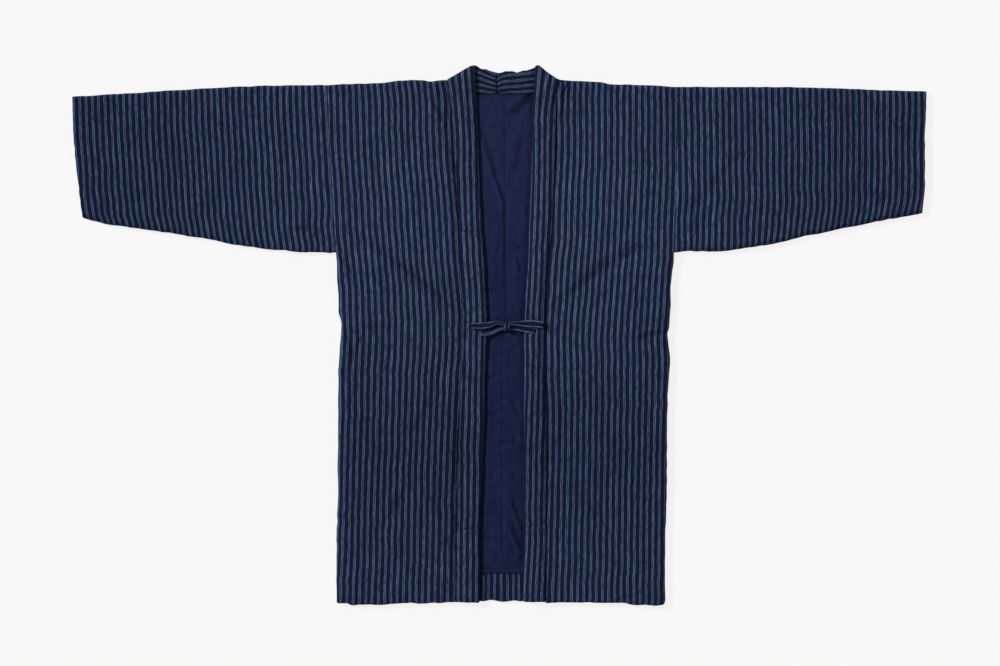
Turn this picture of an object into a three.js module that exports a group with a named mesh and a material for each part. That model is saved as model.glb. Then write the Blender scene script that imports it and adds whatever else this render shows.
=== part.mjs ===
// A hanten: a short padded coat of striped cotton, laid flat on its back with its
// two fronts drawn together by ties in a bow.
//
// Millimetres, +Z up. X runs across the coat from cuff to cuff and Y from hem to
// collar. Left is -X. The coat rests on z = 0, and the middle of its box is x = y = 0.
//
// The layers, from the surface it lies on: the back and the neck part of the collar,
// the back's lining with the turned-up hem, the fronts with the collar's long bands,
// and the bow. Each sleeve is one flattened tube of padded cloth, open at both ends.
import * as THREE from "three";

// Driving sizes
const span = 1330; // cuff to cuff
const bodyLength = 841; // collar peak to hem
const wall = 5; // padded cloth, its outer cover and its wadding
const liningThick = 1.2; // one thin cotton layer
const hemTurnThick = 1.4; // the cover cloth where it is turned up inside the hem
const seamGap = 0.3; // between pieces that are sewn together or lie on each other
const frontPuff = 2.2; // how much thicker the fronts are away from their seams
const collarThick = 6.6; // the folded and padded collar band
const sleeveSlit = 0.9; // between the two layers of a sleeve that lies flat
const sleevePuff = 1.6; // how much further they part in the middle
const tieThick = 1.5; // one layer of a tie
const tieWidth = 9.5;

// Heights that follow from them
const backTop = wall;
const liningUnder = backTop + seamGap;
const liningTop = liningUnder + liningThick;
const frontUnder = liningTop + seamGap;
const frontTop = frontUnder + wall;
const foldHeight = (backTop + frontUnder) / 2; // where front meets back along a fold
const collarTop = frontUnder + collarThick;
const halfSpan = span / 2;
const topEnd = bodyLength / 2;

// Where the main pieces end
const centreSeam = 6;
const collarCentre = -3;
const armpit = 128.5;
const neckline = 375.4;
const hemTurnTop = -371;
const liningInset = 14; // the lining stops this far inside the side and armhole seams

// Tables. Each row is one point of an edge.
const table = (names, rows) =>
  rows.map((row) => Object.fromEntries(names.split(" ").map((n, i) => [n, row[i]])));

// The shoulder fold and the top fold of the sleeves, from cuff to cuff.
const topEdge = table("x y", [
  [-halfSpan, 371], [-593, 375.3], [-519, 380], [-425, 385.5], [-350, 388.6], [-268, 389.4],
  [-232, 390.9], [-182, 392.5], [-154, 396.3], [-123, 397], [-107, 394.2], [-92, 396.4],
  [-79, 397], [92, 397], [117, 395.6], [157, 394], [173, 390.9], [210, 389.4], [248, 387.8],
  [274, 386.2], [341, 386.2], [416, 386.2], [509, 384.7], [565, 383.1], [621, 380], [halfSpan, 379.2],
]);

// The lower seam of each sleeve, from the cuff to the armpit.
const sleeveSeamLeft = table("x y", [
  [-655, 187], [-646, 182], [-631, 177.5], [-575, 168.2], [-519, 160.4], [-463, 151.1],
  [-407, 140.2], [-369, 135.5], [-332, 131.6], [-294, 129.3], [-254, armpit],
]);
const sleeveSeamRight = table("x y", [
  [272, armpit], [304, 130.8], [341, 130.8], [378, 135.5], [416, 141], [472, 153.4],
  [528, 165.1], [584, 176], [621, 183], [652, 188.5], [661, 191],
]);

// The armhole seam and, below the armpit, the side seam.
const sideLeft = table("y x", [
  [-421, -252.3], [-350, -253], [-304, -252.3], [-241, -250.7], [-163, -250.7], [-101, -250],
  [-54, -249.2], [-16, -246.8], [16, -245.3], [39, -249.2], [70, -250.7], [114, -252.3],
  [armpit, -254], [390, -268],
]);
const sideRight = table("y x", [
  [-421, 257.5], [-350, 257], [-319, 257.8], [-288, 258.5], [-241, 260.1], [-132, 260.1],
  [-101, 261.6], [-70, 263.2], [-39, 264.8], [-8, 263.2], [16, 264], [39, 265.5], [70, 266.3],
  [109, 270.2], [armpit, 272], [388, 278],
]);

// The open end of each sleeve, from its seam up to its fold.
const cuffLeft = table("t x", [
  [0, -649], [0.12, -652], [0.36, -657.5], [0.62, -662], [0.87, -664.4], [1, -halfSpan],
]);
const cuffRight = table("t x", [
  [0, 658.8], [0.1, 660.4], [0.22, 662.6], [0.6, 662.4], [0.85, 664.2], [1, halfSpan],
]);

// The hems of the fronts with their collar ends, and the back's, a little higher.
const frontHem = table("x y", [
  [-256, -417.4], [-238, -417.6], [-229, -420.5], [-218, -418.6], [-182, -418.9], [-145, -416.6],
  [-107, -416.8], [-70, -415.2], [-45, -416.2], [-30, -416.8], [36, -415.4], [60, -415.6],
  [80, -415.9], [117, -415.2], [154, -416], [192, -416.2], [210, -418.9], [229, -419.5],
  [243, -420.5], [258, -418.2],
]);
const backHem = table("x y", [
  [-256, -413.6], [-120, -412.6], [-27, -413.4], [-14, -411.2], [5, -413.8], [23, -412.4],
  [34, -413], [140, -412.2], [258, -413.4],
]);

// The long bands of the collar: its seam to the front, and its folded inner edge.
const bandLeft = table("y seam fold", [
  [-421, -67.7, -30.2], [-288, -67, -28.8], [-226, -66, -26.5], [-195, -65.4, -25.8],
  [-132, -62.8, -23.4], [-70, -58.4, -22.6], [-23, -53, -20.2], [23, -52.2, -18.7],
  [70, -56.1, -21], [117, -59.2, -23.4], [163, -62, -27.3], [226, -66.8, -30.4],
  [288, -71, -32.7], [366, -76.8, -36.6], [397, -79.2, -38], [421, -81, -39],
]);
const bandRight = table("y seam fold", [
  [-421, 72.3, 35.8], [-350, 73.2, 38.9], [-288, 74, 39.7], [-226, 74.8, 39.3],
  [-117, 73.2, 38.9], [-54, 71.6, 38.9], [-8, 71.5, 38.9], [39, 72, 40.5], [70, 73.2, 42],
  [117, 76.3, 45.2], [156, 81, 46.3], [210, 84.1, 48.3], [265, 87.2, 50.6], [319, 88.6, 52.4],
  [382, 89.4, 54.5], [397, 92, 55.2], [421, 95, 56.1],
]);
// Where the front bands are pieced, besides the ends that were added at the bottom.
const bandJoinLeft = 162;
const bandJoinRight = -50;
const bandEndJoinLeft = -300;
const bandEndJoinRight = -295;

// The neck part of the collar, from the shoulder fold to the join at its centre:
// the seam that holds it to the back, and its folded top edge.
const neckLeft = table("seamX seamY foldX foldY", [
  [-79.2, 397, -39, topEnd], [-71, 387, -35, 419], [-60, 380.4, -29, 416], [-47, 377.2, -22.6, 414.1],
  [-33, 376, -15, 410.4], [-18, 375.9, -9, 408.3], [collarCentre, 375.8, collarCentre, 407.8],
]);
const neckRight = table("seamX seamY foldX foldY", [
  [collarCentre, 375.8, collarCentre, 407.8], [14, 375.9, 9, 410.9], [31, 376, 20, 410.3],
  [47, 376.2, 28, 409.3], [62, 377.6, 38, 411.4], [76, 381.6, 46, 413], [86, 388.4, 51, 416.5],
  [92, 397, 56, topEnd - 1],
]);
// Each front band ends along a straight slant from the shoulder to its peak.
const peakLeft = { seamY: 397, foldY: topEnd };
const peakRight = { seamY: 397, foldY: topEnd - 1 };

// The largest folds of the fronts: troughs that run through these points.
const foldRows = (rows) => table("fold x y depth reach", rows);
const frontFolds = foldRows([
  ["armholeLeft", -227, 152, 0.8, 10], ["armholeLeft", -196, 132, 1.5, 10], ["armholeLeft", -154, 112, 2, 11],
  ["armholeLeft", -112, 75, 2.1, 11], ["armholeLeft", -66, 39, 1.4, 10],
  ["armholeRight", 220, 132, 0.8, 10], ["armholeRight", 188, 120, 1.6, 10], ["armholeRight", 157, 106, 2.2, 11],
  ["armholeRight", 115, 70, 2.4, 11], ["armholeRight", 82, 32, 1.6, 10],
  ["sideLeft", -212, -8, 1.6, 9], ["sideLeft", -228, -50, 1.8, 9],
  ["sideRightUpper", 251, 13, 1.7, 8], ["sideRightUpper", 204, 0, 0.9, 9],
  ["sideRightLower", 251, -14, 1.4, 8], ["sideRightLower", 215, 2, 0.8, 8],
  ["skirtLeft", -97, -101, 0.8, 12], ["skirtLeft", -128, -184, 1.5, 13], ["skirtLeft", -181, -299, 1.2, 12],
  ["skirtRight", 126, -262, 1.2, 9], ["skirtRight", 157, -274, 1.6, 9], ["skirtRight", 178, -293, 1, 9],
  ["collarLeft", -98, 358, 1.4, 7], ["collarLeft", -83, 326, 1.2, 7],
  ["collarRight", 107, 388, 2, 8], ["collarRight", 98, 354, 1.4, 7],
]);
// The lining's folds between the fronts, where it is free to lift.
const liningFolds = foldRows([
  ["upperLeft", -18, 290, 1.3, 7], ["upperLeft", -3, 240, 1.7, 7], ["upperLeft", 9, 190, 1.6, 7],
  ["middle", 11, 160, 1.4, 7], ["middle", 12, 60, 1.5, 7], ["middle", 10, 30, 0.8, 7],
  ["upperRight", 48, 372, 1.8, 9], ["upperRight", 32, 318, 1.2, 9],
  ["lowerRight", 24, -268, 1.6, 7], ["lowerRight", 31, -318, 2, 7], ["lowerRight", 35, -368, 1.4, 7],
  ["lowerCross", -22, -330, 0.7, 8], ["lowerCross", 8, -300, 0.8, 8],
]);

const clamp = (value, low, high) => Math.min(high, Math.max(low, value));
const mix = (a, b, t) => a + (b - a) * t;
const smooth = (from, to, value) => {
  const t = clamp((value - from) / (to - from), 0, 1);
  return t * t * (3 - 2 * t);
};

// Column `is` of a table at place `at` in column `of`: cubic between rows, and never
// past the rows on either side of it.
function along(rows, of, is, at) {
  const last = rows.length - 1;
  const place = clamp(at, rows[0][of], rows[last][of]);
  let i = 0;
  while (i < last - 1 && rows[i + 1][of] < place) i++;
  const secant = (k) => (rows[k + 1][is] - rows[k][is]) / (rows[k + 1][of] - rows[k][of]);
  const slope = (k) => {
    if (k === 0 || k === last) return secant(k === 0 ? 0 : last - 1);
    const [before, after] = [secant(k - 1), secant(k)];
    return before * after <= 0 ? 0 : (2 * before * after) / (before + after);
  };
  const step = rows[i + 1][of] - rows[i][of];
  const t = (place - rows[i][of]) / step;
  const curve = new THREE.Vector4(2 * t ** 3 - 3 * t ** 2 + 1, t ** 3 - 2 * t ** 2 + t, 3 * t ** 2 - 2 * t ** 3, t ** 3 - t ** 2);
  return curve.dot(new THREE.Vector4(rows[i][is], slope(i) * step, rows[i + 1][is], slope(i + 1) * step));
}

// A row of a table of sections, at share t of the way through them.
function sectionAt(rows, t) {
  const place = clamp(t, 0, 1) * (rows.length - 1);
  const i = Math.min(Math.floor(place), rows.length - 2);
  return Object.fromEntries(Object.keys(rows[0]).map((n) => [n, mix(rows[i][n], rows[i + 1][n], place - i)]));
}

// How far the folds in a table pull the cloth down at a point.
function foldDepth(folds, x, y) {
  let deepest = 0;
  for (let i = 1; i < folds.length; i++) {
    const a = folds[i - 1];
    const b = folds[i];
    if (a.fold !== b.fold) continue;
    const length2 = (b.x - a.x) ** 2 + (b.y - a.y) ** 2;
    const t = clamp(((x - a.x) * (b.x - a.x) + (y - a.y) * (b.y - a.y)) / length2, 0, 1);
    const away = Math.hypot(x - mix(a.x, b.x, t), y - mix(a.y, b.y, t)) / mix(a.reach, b.reach, t);
    deepest = Math.max(deepest, mix(a.depth, b.depth, t) * Math.exp(-away * away));
  }
  return deepest;
}

// Shares of a width: close together at the ends, where the rim turns, and even between.
function steps(count, size, insets = [0, 1.4, 4.5]) {
  const ends = insets.map((inset) => inset / size);
  const inner = Array.from({ length: count - 1 }, (_, i) => mix(0, 1, (i + 1) / count));
  const last = ends[ends.length - 1] * 1.7;
  return [...ends, ...inner.filter((t) => t > last && t < 1 - last), ...ends.map((t) => 1 - t).reverse()];
}

const covers = {
  stripe: new THREE.MeshStandardMaterial({ name: "striped_cotton", color: 0x263046, roughness: 0.92, metalness: 0 }),
  lining: new THREE.MeshStandardMaterial({ name: "lining_cotton", color: 0x1e2541, roughness: 0.9, metalness: 0 }),
};

const garment = new THREE.Group();

// Adds a closed solid, given its points and its triangles.
function addSolid(name, cover, points, faces) {
  const geometry = new THREE.BufferGeometry();
  geometry.setAttribute("position", new THREE.Float32BufferAttribute(points.flat(), 3));
  geometry.setIndex(faces.flat());
  geometry.computeVertexNormals();
  const mesh = new THREE.Mesh(geometry, covers[cover]);
  mesh.name = name;
  garment.add(mesh);
}

// A padded panel: an upper and an under face on one grid of points, which share a rim.
// place(u, v) is a point in plan, under and over give the faces' heights there, rim
// gives the height of the rim on each side, and turn the radius that it turns through.
function addPanel(name, cover, { place, columns, rows, under, over, rim, turn, turnUnder = turn }) {
  const plan = rows.map((v) => columns.map((u) => place(u, v)));
  const m = columns.length;
  const n = rows.length;
  const upper = [];
  const lower = [];
  plan.forEach((line, j) =>
    line.forEach((p, i) => {
      const off = (q) => Math.hypot(p.x - q.x, p.y - q.y);
      const away = { west: off(line[0]), east: off(line[m - 1]), south: off(plan[0][i]), north: off(plan[n - 1][i]) };
      const weights = Object.entries(away).map(([side, d]) => [rim[side](p.x, p.y), 1 / (d + 0.02) ** 2]);
      const rimZ = weights.reduce((s, [z, w]) => s + z * w, 0) / weights.reduce((s, [, w]) => s + w, 0);
      const edge = Math.min(...Object.values(away));
      const rise = (radius) => Math.sqrt(1 - (1 - clamp(edge / radius, 0, 1)) ** 2);
      upper.push([p.x, p.y, mix(rimZ, over(p.x, p.y), rise(turn))]);
      lower.push([p.x, p.y, mix(rimZ, under(p.x, p.y), rise(turnUnder))]);
    }),
  );
  const points = [...upper];
  const lowerIndex = lower.map((point, k) => {
    const onRim = k % m === 0 || k % m === m - 1 || k < m || k >= m * (n - 1);
    return onRim ? k : points.push(point) - 1;
  });
  const faces = [];
  for (let j = 0; j < n - 1; j++)
    for (let i = 0; i < m - 1; i++) {
      const [a, b, c, d] = [j * m + i, j * m + i + 1, (j + 1) * m + i + 1, (j + 1) * m + i];
      const flip = (i + j) % 2;
      faces.push(...(flip ? [[a, b, d], [b, c, d]] : [[a, b, c], [a, c, d]]));
      const [e, f, g, h] = [a, b, c, d].map((k) => lowerIndex[k]);
      faces.push(...(flip ? [[e, h, f], [f, h, g]] : [[e, g, f], [e, h, g]]));
    }
  addSolid(name, cover, points, faces);
}

// A plan between a west and an east edge, x by y, and a south and a north edge, y by x.
const between = (west, east, south, north) => (u, v) => {
  let x = mix(west(0), east(0), u);
  let y = 0;
  for (let round = 0; round < 6; round++) {
    y = mix(south(x), north(x), v);
    x = mix(west(y), east(y), u);
  }
  return { x, y };
};

const sides = { left: (y) => along(sideLeft, "y", "x", y), right: (y) => along(sideRight, "y", "x", y) };
const shoulder = (x) => along(topEdge, "x", "y", x);
const bands = { left: bandLeft, right: bandRight };
const bandSeam = (side, y) => along(bands[side], "y", "seam", y);
const bandFold = (side, y) => along(bands[side], "y", "fold", y);
const towards = { left: -1, right: 1 };

// Across a panel, the soft rise of the wadding between its seams.
function puff(x, y, side) {
  const outer = sides[side](y);
  const inner = bandSeam(side, y);
  const t = clamp((x - outer) / (inner - outer), 0, 1);
  return frontPuff * Math.sin(Math.PI * t) ** 0.6 * smooth(398, 330, y) ** 0.5 * smooth(-421, -370, y) ** 0.5;
}

function addFront(side) {
  const toward = towards[side];
  const outer = (y) => sides[side](y) - toward * 0.2;
  const inner = (y) => bandSeam(side, y) + toward * (seamGap + 0.2);
  const [west, east] = side === "left" ? [outer, inner] : [inner, outer];
  const underAt = (x, y) => {
    const inset = Math.abs(x - sides[side](y));
    return mix(foldHeight + 0.15, frontUnder, smooth(2, liningInset - 4, inset));
  };
  const overAt = (x, y) => frontTop + puff(x, y, side) - foldDepth(frontFolds, x, y);
  const seamHeight = () => (frontUnder + frontTop) / 2;
  const foldedRim = () => foldHeight + 0.15;
  const sideRim = (x, y) => mix(foldedRim(), seamHeight(), smooth(armpit - 6, armpit + 6, y));
  addPanel(`front_${side}`, "stripe", {
    place: between(west, east, (x) => along(frontHem, "x", "y", x), shoulder),
    columns: steps(11, 185),
    rows: steps(25, 810),
    under: underAt,
    over: overAt,
    rim: {
      west: side === "left" ? sideRim : seamHeight,
      east: side === "left" ? seamHeight : sideRim,
      south: () => frontUnder + 0.5 * wall,
      north: foldedRim,
    },
    turn: 6,
    turnUnder: 2,
  });
}

// The top edge of the back: along the shoulder fold, and round the neck below the collar.
const neckSeam = [...neckLeft, ...neckRight.slice(1)];
function backTopEdge(x) {
  const atNeck = x > neckSeam[0].seamX && x < neckSeam[neckSeam.length - 1].seamX;
  return atNeck ? along(neckSeam, "seamX", "seamY", x) - 0.5 : shoulder(x);
}

// Distances from a side seam at which the back has a column of points. The others
// meet the points of the neck's seam at the top of the back.
const sideColumns = [0, 1.4, 4.5, 11];

function addBack(side) {
  const toward = towards[side];
  const outer = (y) => sides[side](y) - toward * 0.2;
  const inner = () => centreSeam + toward * seamGap * 0.5;
  const [west, east] = side === "left" ? [outer, inner] : [inner, outer];
  const sideRim = (x, y) => mix(foldHeight - 0.15, backTop / 2, smooth(armpit - 6, armpit + 6, y));
  const foldedRim = (x) => mix(foldHeight - 0.15, backTop / 2, smooth(-95, -80, x) * smooth(108, 93, x));
  const columns =
    side === "left"
      ? [...sideColumns, 56, 112, 168, 188.6, 196.8, 207.8, 220.8, 234.8, 249.8, 264.8, 272.3, 273.7]
      : [0, 1.4, 7.8, 24.8, 40.8, 55.8, 69.8, 79.8, 85.8, 104, 158, 214, ...sideColumns.map((c) => 270.6 - c).reverse()];
  const width = columns[columns.length - 1];
  addPanel(`back_${side}`, "stripe", {
    place: between(west, east, (x) => along(backHem, "x", "y", x), backTopEdge),
    columns: columns.map((inset) => inset / width),
    rows: steps(12, 800),
    under: () => 0,
    over: (x, y) => {
      const inset = Math.abs(x - sides[side](y));
      return mix(foldHeight - 0.15, backTop, smooth(2, liningInset - 5, inset));
    },
    rim: {
      west: side === "left" ? sideRim : () => backTop / 2,
      east: side === "left" ? () => backTop / 2 : sideRim,
      south: () => backTop / 2,
      north: foldedRim,
    },
    turn: 3,
    turnUnder: 5,
  });
}

// Between the fronts the lining is free, and stands up a little between its folds.
function liningLift(x, y) {
  const inside = Math.min(x - bandFold("left", y), bandFold("right", y) - x);
  const free = smooth(0.5, 9, inside) * smooth(neckline - 4, neckline - 26, y) * smooth(hemTurnTop + 2, hemTurnTop + 20, y);
  const centre = 0.6 * Math.exp(-(((x - centreSeam) / 3) ** 2));
  return Math.max(0, (2.1 - foldDepth(liningFolds, x, y) - centre) * free);
}

function addLining(side) {
  const toward = towards[side];
  const outer = (y) => sides[side](y) - toward * liningInset;
  const inner = centreSeam + toward * seamGap * 0.5;
  const top = (x) => Math.min(backTopEdge(x) - 0.8, shoulder(x) - liningInset);
  // Columns are placed between the side and the collar's fold (0 to 1), and from there
  // to the centre seam (1 to 2).
  const columns = [0, 0.008, 0.3, 0.6, 0.76, 0.83, 0.89, 0.945, 1, 1.14, 1.3, 1.48, 1.66, 1.84, 1.96, 2];
  const place = (u, v) => {
    let [x, y] = [0, 0];
    for (let round = 0; round < 6; round++) {
      y = mix(hemTurnTop + seamGap, top(x), v);
      x = u < 1 ? mix(outer(y), bandFold(side, y), u) : mix(bandFold(side, y), inner, u - 1);
    }
    return { x, y };
  };
  const middle = (x, y) => liningUnder + liningThick / 2 + liningLift(x, y);
  addPanel(`lining_${side}`, "lining", {
    place: (u, v) => place(side === "left" ? u : 2 - u, v),
    columns: side === "left" ? columns : columns.map((u) => 2 - u).reverse(),
    rows: steps(16, 740, [0, 1.4]),
    under: (x, y) => liningUnder + liningLift(x, y),
    over: (x, y) => liningTop + liningLift(x, y),
    rim: { west: middle, east: middle, south: middle, north: middle },
    turn: 1.2,
  });
}

// The cover cloth that is turned up inside the back's hem.
function addHemTurn() {
  const top = liningUnder + hemTurnThick;
  addPanel("hem_turn", "stripe", {
    place: between(
      (y) => sides.left(y) + liningInset + 2,
      (y) => sides.right(y) - liningInset - 2,
      (x) => along(backHem, "x", "y", x) + 1.5,
      () => hemTurnTop,
    ),
    columns: steps(9, 480, [0, 1.4]),
    rows: [0, 0.04, 0.5, 0.96, 1],
    under: () => liningUnder,
    over: () => top - 0.1,
    rim: Object.fromEntries(["west", "east", "south", "north"].map((s) => [s, () => liningUnder + hemTurnThick / 2])),
    turn: 1.2,
  });
}

// One stretch of a front band, from its lower to its upper end. A stretch that ends at
// the peak is cut along the slant of the shoulder fold.
function addBand(name, side, from, to, peak) {
  const lower = (x) => (from === null ? along(frontHem, "x", "y", x) : from + seamGap / 2);
  const toward = towards[side];
  const upper = (x) => {
    if (!peak) return to - seamGap / 2;
    const t = clamp((x - bandSeam(side, peak.seamY)) / (bandFold(side, peak.foldY) - bandSeam(side, peak.seamY)), 0, 1);
    return mix(peak.seamY, peak.foldY, t);
  };
  const [west, east] = side === "left" ? [(y) => bandSeam(side, y), (y) => bandFold(side, y)] : [(y) => bandFold(side, y), (y) => bandSeam(side, y)];
  const crown = (x, y) => {
    const t = clamp((x - bandSeam(side, y)) / (bandFold(side, y) - bandSeam(side, y)), 0, 1);
    return 0.7 * Math.sin(Math.PI * t);
  };
  const seamRim = () => (frontUnder + frontTop) / 2;
  const foldRim = () => (frontUnder + collarTop) / 2;
  const long = (peak ? peak.foldY : to) - (from === null ? -416 : from);
  addPanel(name, "stripe", {
    place: between(west, east, lower, upper),
    columns: steps(3, 37, [0, 1.2, 3.8]),
    rows: steps(Math.max(2, Math.round(long / 30)), long, [0, 1.2, 4]),
    under: () => frontUnder,
    over: (x, y) => collarTop + crown(x, y) - 0.4 * foldDepth(frontFolds, x + toward * 4, y),
    rim: {
      west: side === "left" ? seamRim : foldRim,
      east: side === "left" ? foldRim : seamRim,
      south: foldRim,
      north: peak ? () => frontUnder + 0.1 : foldRim,
    },
    turn: 3.6,
    turnUnder: 2,
  });
}

// Half of the collar at the neck, lying below the shoulders' peaks.
function addNeck(name, rows, centreLast) {
  const top = collarThick - 0.1;
  const shift = centreLast ? -seamGap / 2 : seamGap / 2;
  const ridge = () => top;
  const middle = () => top / 2;
  addPanel(name, "stripe", {
    place: (u, v) => {
      const s = sectionAt(rows, u);
      return { x: mix(s.seamX, s.foldX, v) + shift, y: mix(s.seamY + seamGap, s.foldY, v) };
    },
    columns: steps(7, 90, [0, 1.2, 4]),
    rows: steps(2, 36, [0, 1.2, 4]),
    under: () => 0,
    over: () => top,
    rim: { west: centreLast ? ridge : middle, east: centreLast ? middle : ridge, south: middle, north: middle },
    turn: 3.2,
    turnUnder: 3.2,
  });
}

// A sleeve: a tube of padded cloth, flat on its underside, with a thin slit inside.
// Sections run from the armhole to the cuff, and each goes round from its top fold
// down the upper layer to its lower seam and back up the under layer.
function addSleeve(side) {
  const toward = towards[side];
  const seamRows = side === "left" ? sleeveSeamLeft : sleeveSeamRight;
  const cuffRows = side === "left" ? cuffLeft : cuffRight;
  const reach = 390; // the sleeve's length, for spacing its sections
  const sections = steps(9, reach, [0, 1.5, 5]);
  const across = steps(6, 220, [0, 1.4, 4.5]);
  const armhole = (t) => {
    const y = mix(armpit, shoulder(sides[side](388)), t);
    return sides[side](y) + toward * 0.2;
  };
  const outer = [];
  const inner = [];
  for (const s of sections) {
    const fromEnd = Math.min(s, 1 - s) * reach;
    const thin = 1.6 * (1 - Math.sqrt(1 - (1 - clamp(fromEnd / 5, 0, 1)) ** 2));
    const place = (t) => {
      const x = mix(armhole(t), along(cuffRows, "t", "x", t), s);
      return { x, y: mix(along(seamRows, "x", "y", x), shoulder(x), t) };
    };
    const point = (t, upper, inside) => {
      const p = place(t);
      const height = Math.abs(place(1).y - place(0).y);
      const edge = Math.min(t, 1 - t) * height;
      const half = wall + (sleeveSlit + sleevePuff * Math.sin(Math.PI * t) * Math.sin(Math.PI * clamp(s, 0.08, 0.92))) / 2;
      const turned = Math.sqrt(1 - (1 - clamp(edge / 6, 0, 1)) ** 2);
      if (!inside) return [p.x, p.y, half + (upper ? 1 : -1) * (half - thin * (upper ? 1 : 0.3)) * turned];
      const shrink = (height - 2 * wall) / height;
      const middle = (place(0).y + place(1).y) / 2;
      const gap = (half - wall) * turned + thin * 0.7;
      return [p.x, mix(middle, p.y, shrink), half + (upper ? 1 : -1) * Math.max(gap * turned, 0)];
    };
    const ring = (inside) => [
      ...[...across].reverse().map((t) => point(t, true, inside)),
      ...across.slice(1, -1).map((t) => point(t, false, inside)),
    ];
    outer.push(ring(false));
    inner.push(ring(true));
  }
  const around = outer[0].length;
  const points = [...outer.flat(), ...inner.flat()];
  const start = sections.length * around;
  const faces = [];
  const quad = (a, b, c, d) => faces.push(...(side === "left" ? [[a, b, c], [a, c, d]] : [[a, c, b], [a, d, c]]));
  const last = (sections.length - 1) * around;
  for (let k = 0; k < around; k++) {
    const next = (k + 1) % around;
    for (let i = 0; i < last; i += around) {
      quad(i + k, i + around + k, i + around + next, i + next);
      quad(start + i + k, start + i + next, start + i + around + next, start + i + around + k);
    }
    quad(k, next, start + next, start + k);
    quad(last + k, start + last + k, start + last + next, last + next);
  }
  addSolid(`sleeve_${side}`, "stripe", points, faces);
}

// A flat tie along a route. Each row gives its middle, its width, and how far its
// across-direction is turned up from level.
function addStrap(name, route, thick = tieThick) {
  const path = new THREE.CatmullRomCurve3(route.map((r) => new THREE.Vector3(r.x, r.y, r.z)), false, "centripetal");
  const count = Math.max(5, Math.round(path.getLength() / 7));
  const corner = 0.3;
  const section = [[-0.5, 0], [-0.5 + corner / 6, -0.5], [0.5 - corner / 6, -0.5], [0.5, 0], [0.5 - corner / 6, 0.5], [-0.5 + corner / 6, 0.5]];
  const points = [];
  for (let i = 0; i <= count; i++) {
    const t = i / count;
    const at = path.getPoint(t);
    const heading = path.getTangent(t);
    const row = sectionAt(route, t);
    const flat = new THREE.Vector3(row.acrossX, row.acrossY, row.acrossZ);
    const wide = flat.addScaledVector(heading, -flat.dot(heading)).normalize();
    const up = new THREE.Vector3().crossVectors(heading, wide).normalize();
    for (const [w, h] of section) {
      const p = at.clone().addScaledVector(wide, w * row.width).addScaledVector(up, h * thick);
      points.push([p.x, p.y, p.z]);
    }
  }
  const m = section.length;
  const faces = [];
  for (let i = 0; i < count; i++)
    for (let k = 0; k < m; k++) {
      const [a, b, c, d] = [i * m + k, i * m + ((k + 1) % m), (i + 1) * m + ((k + 1) % m), (i + 1) * m + k];
      faces.push([a, b, c], [a, c, d]);
    }
  for (let k = 1; k < m - 1; k++) faces.push([0, k + 1, k], [count * m, count * m + k, count * m + k + 1]);
  addSolid(name, "stripe", points, faces);
}

// The ties leave the collar's folded edges, meet in a knot over the opening, and end
// in two loops and two tails that lie on the collar.
const knot = { x: 11.5, y: 12.8, halfX: 5.4, halfY: 6.4, low: 10.9, high: 19.8 };
const layers = { tie: 12, tail: 14, loop: 16.1 }; // the middles of the straps where they meet the knot
const onCollar = collarTop + 0.7 + seamGap + tieThick / 2; // a strap's middle as it lies on the crowned band
const strapRow = (rows) =>
  table("x y z width acrossX acrossY acrossZ", rows.map((r) => (r.length > 4 ? r : [...r, 0, 1, 0])));

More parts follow.
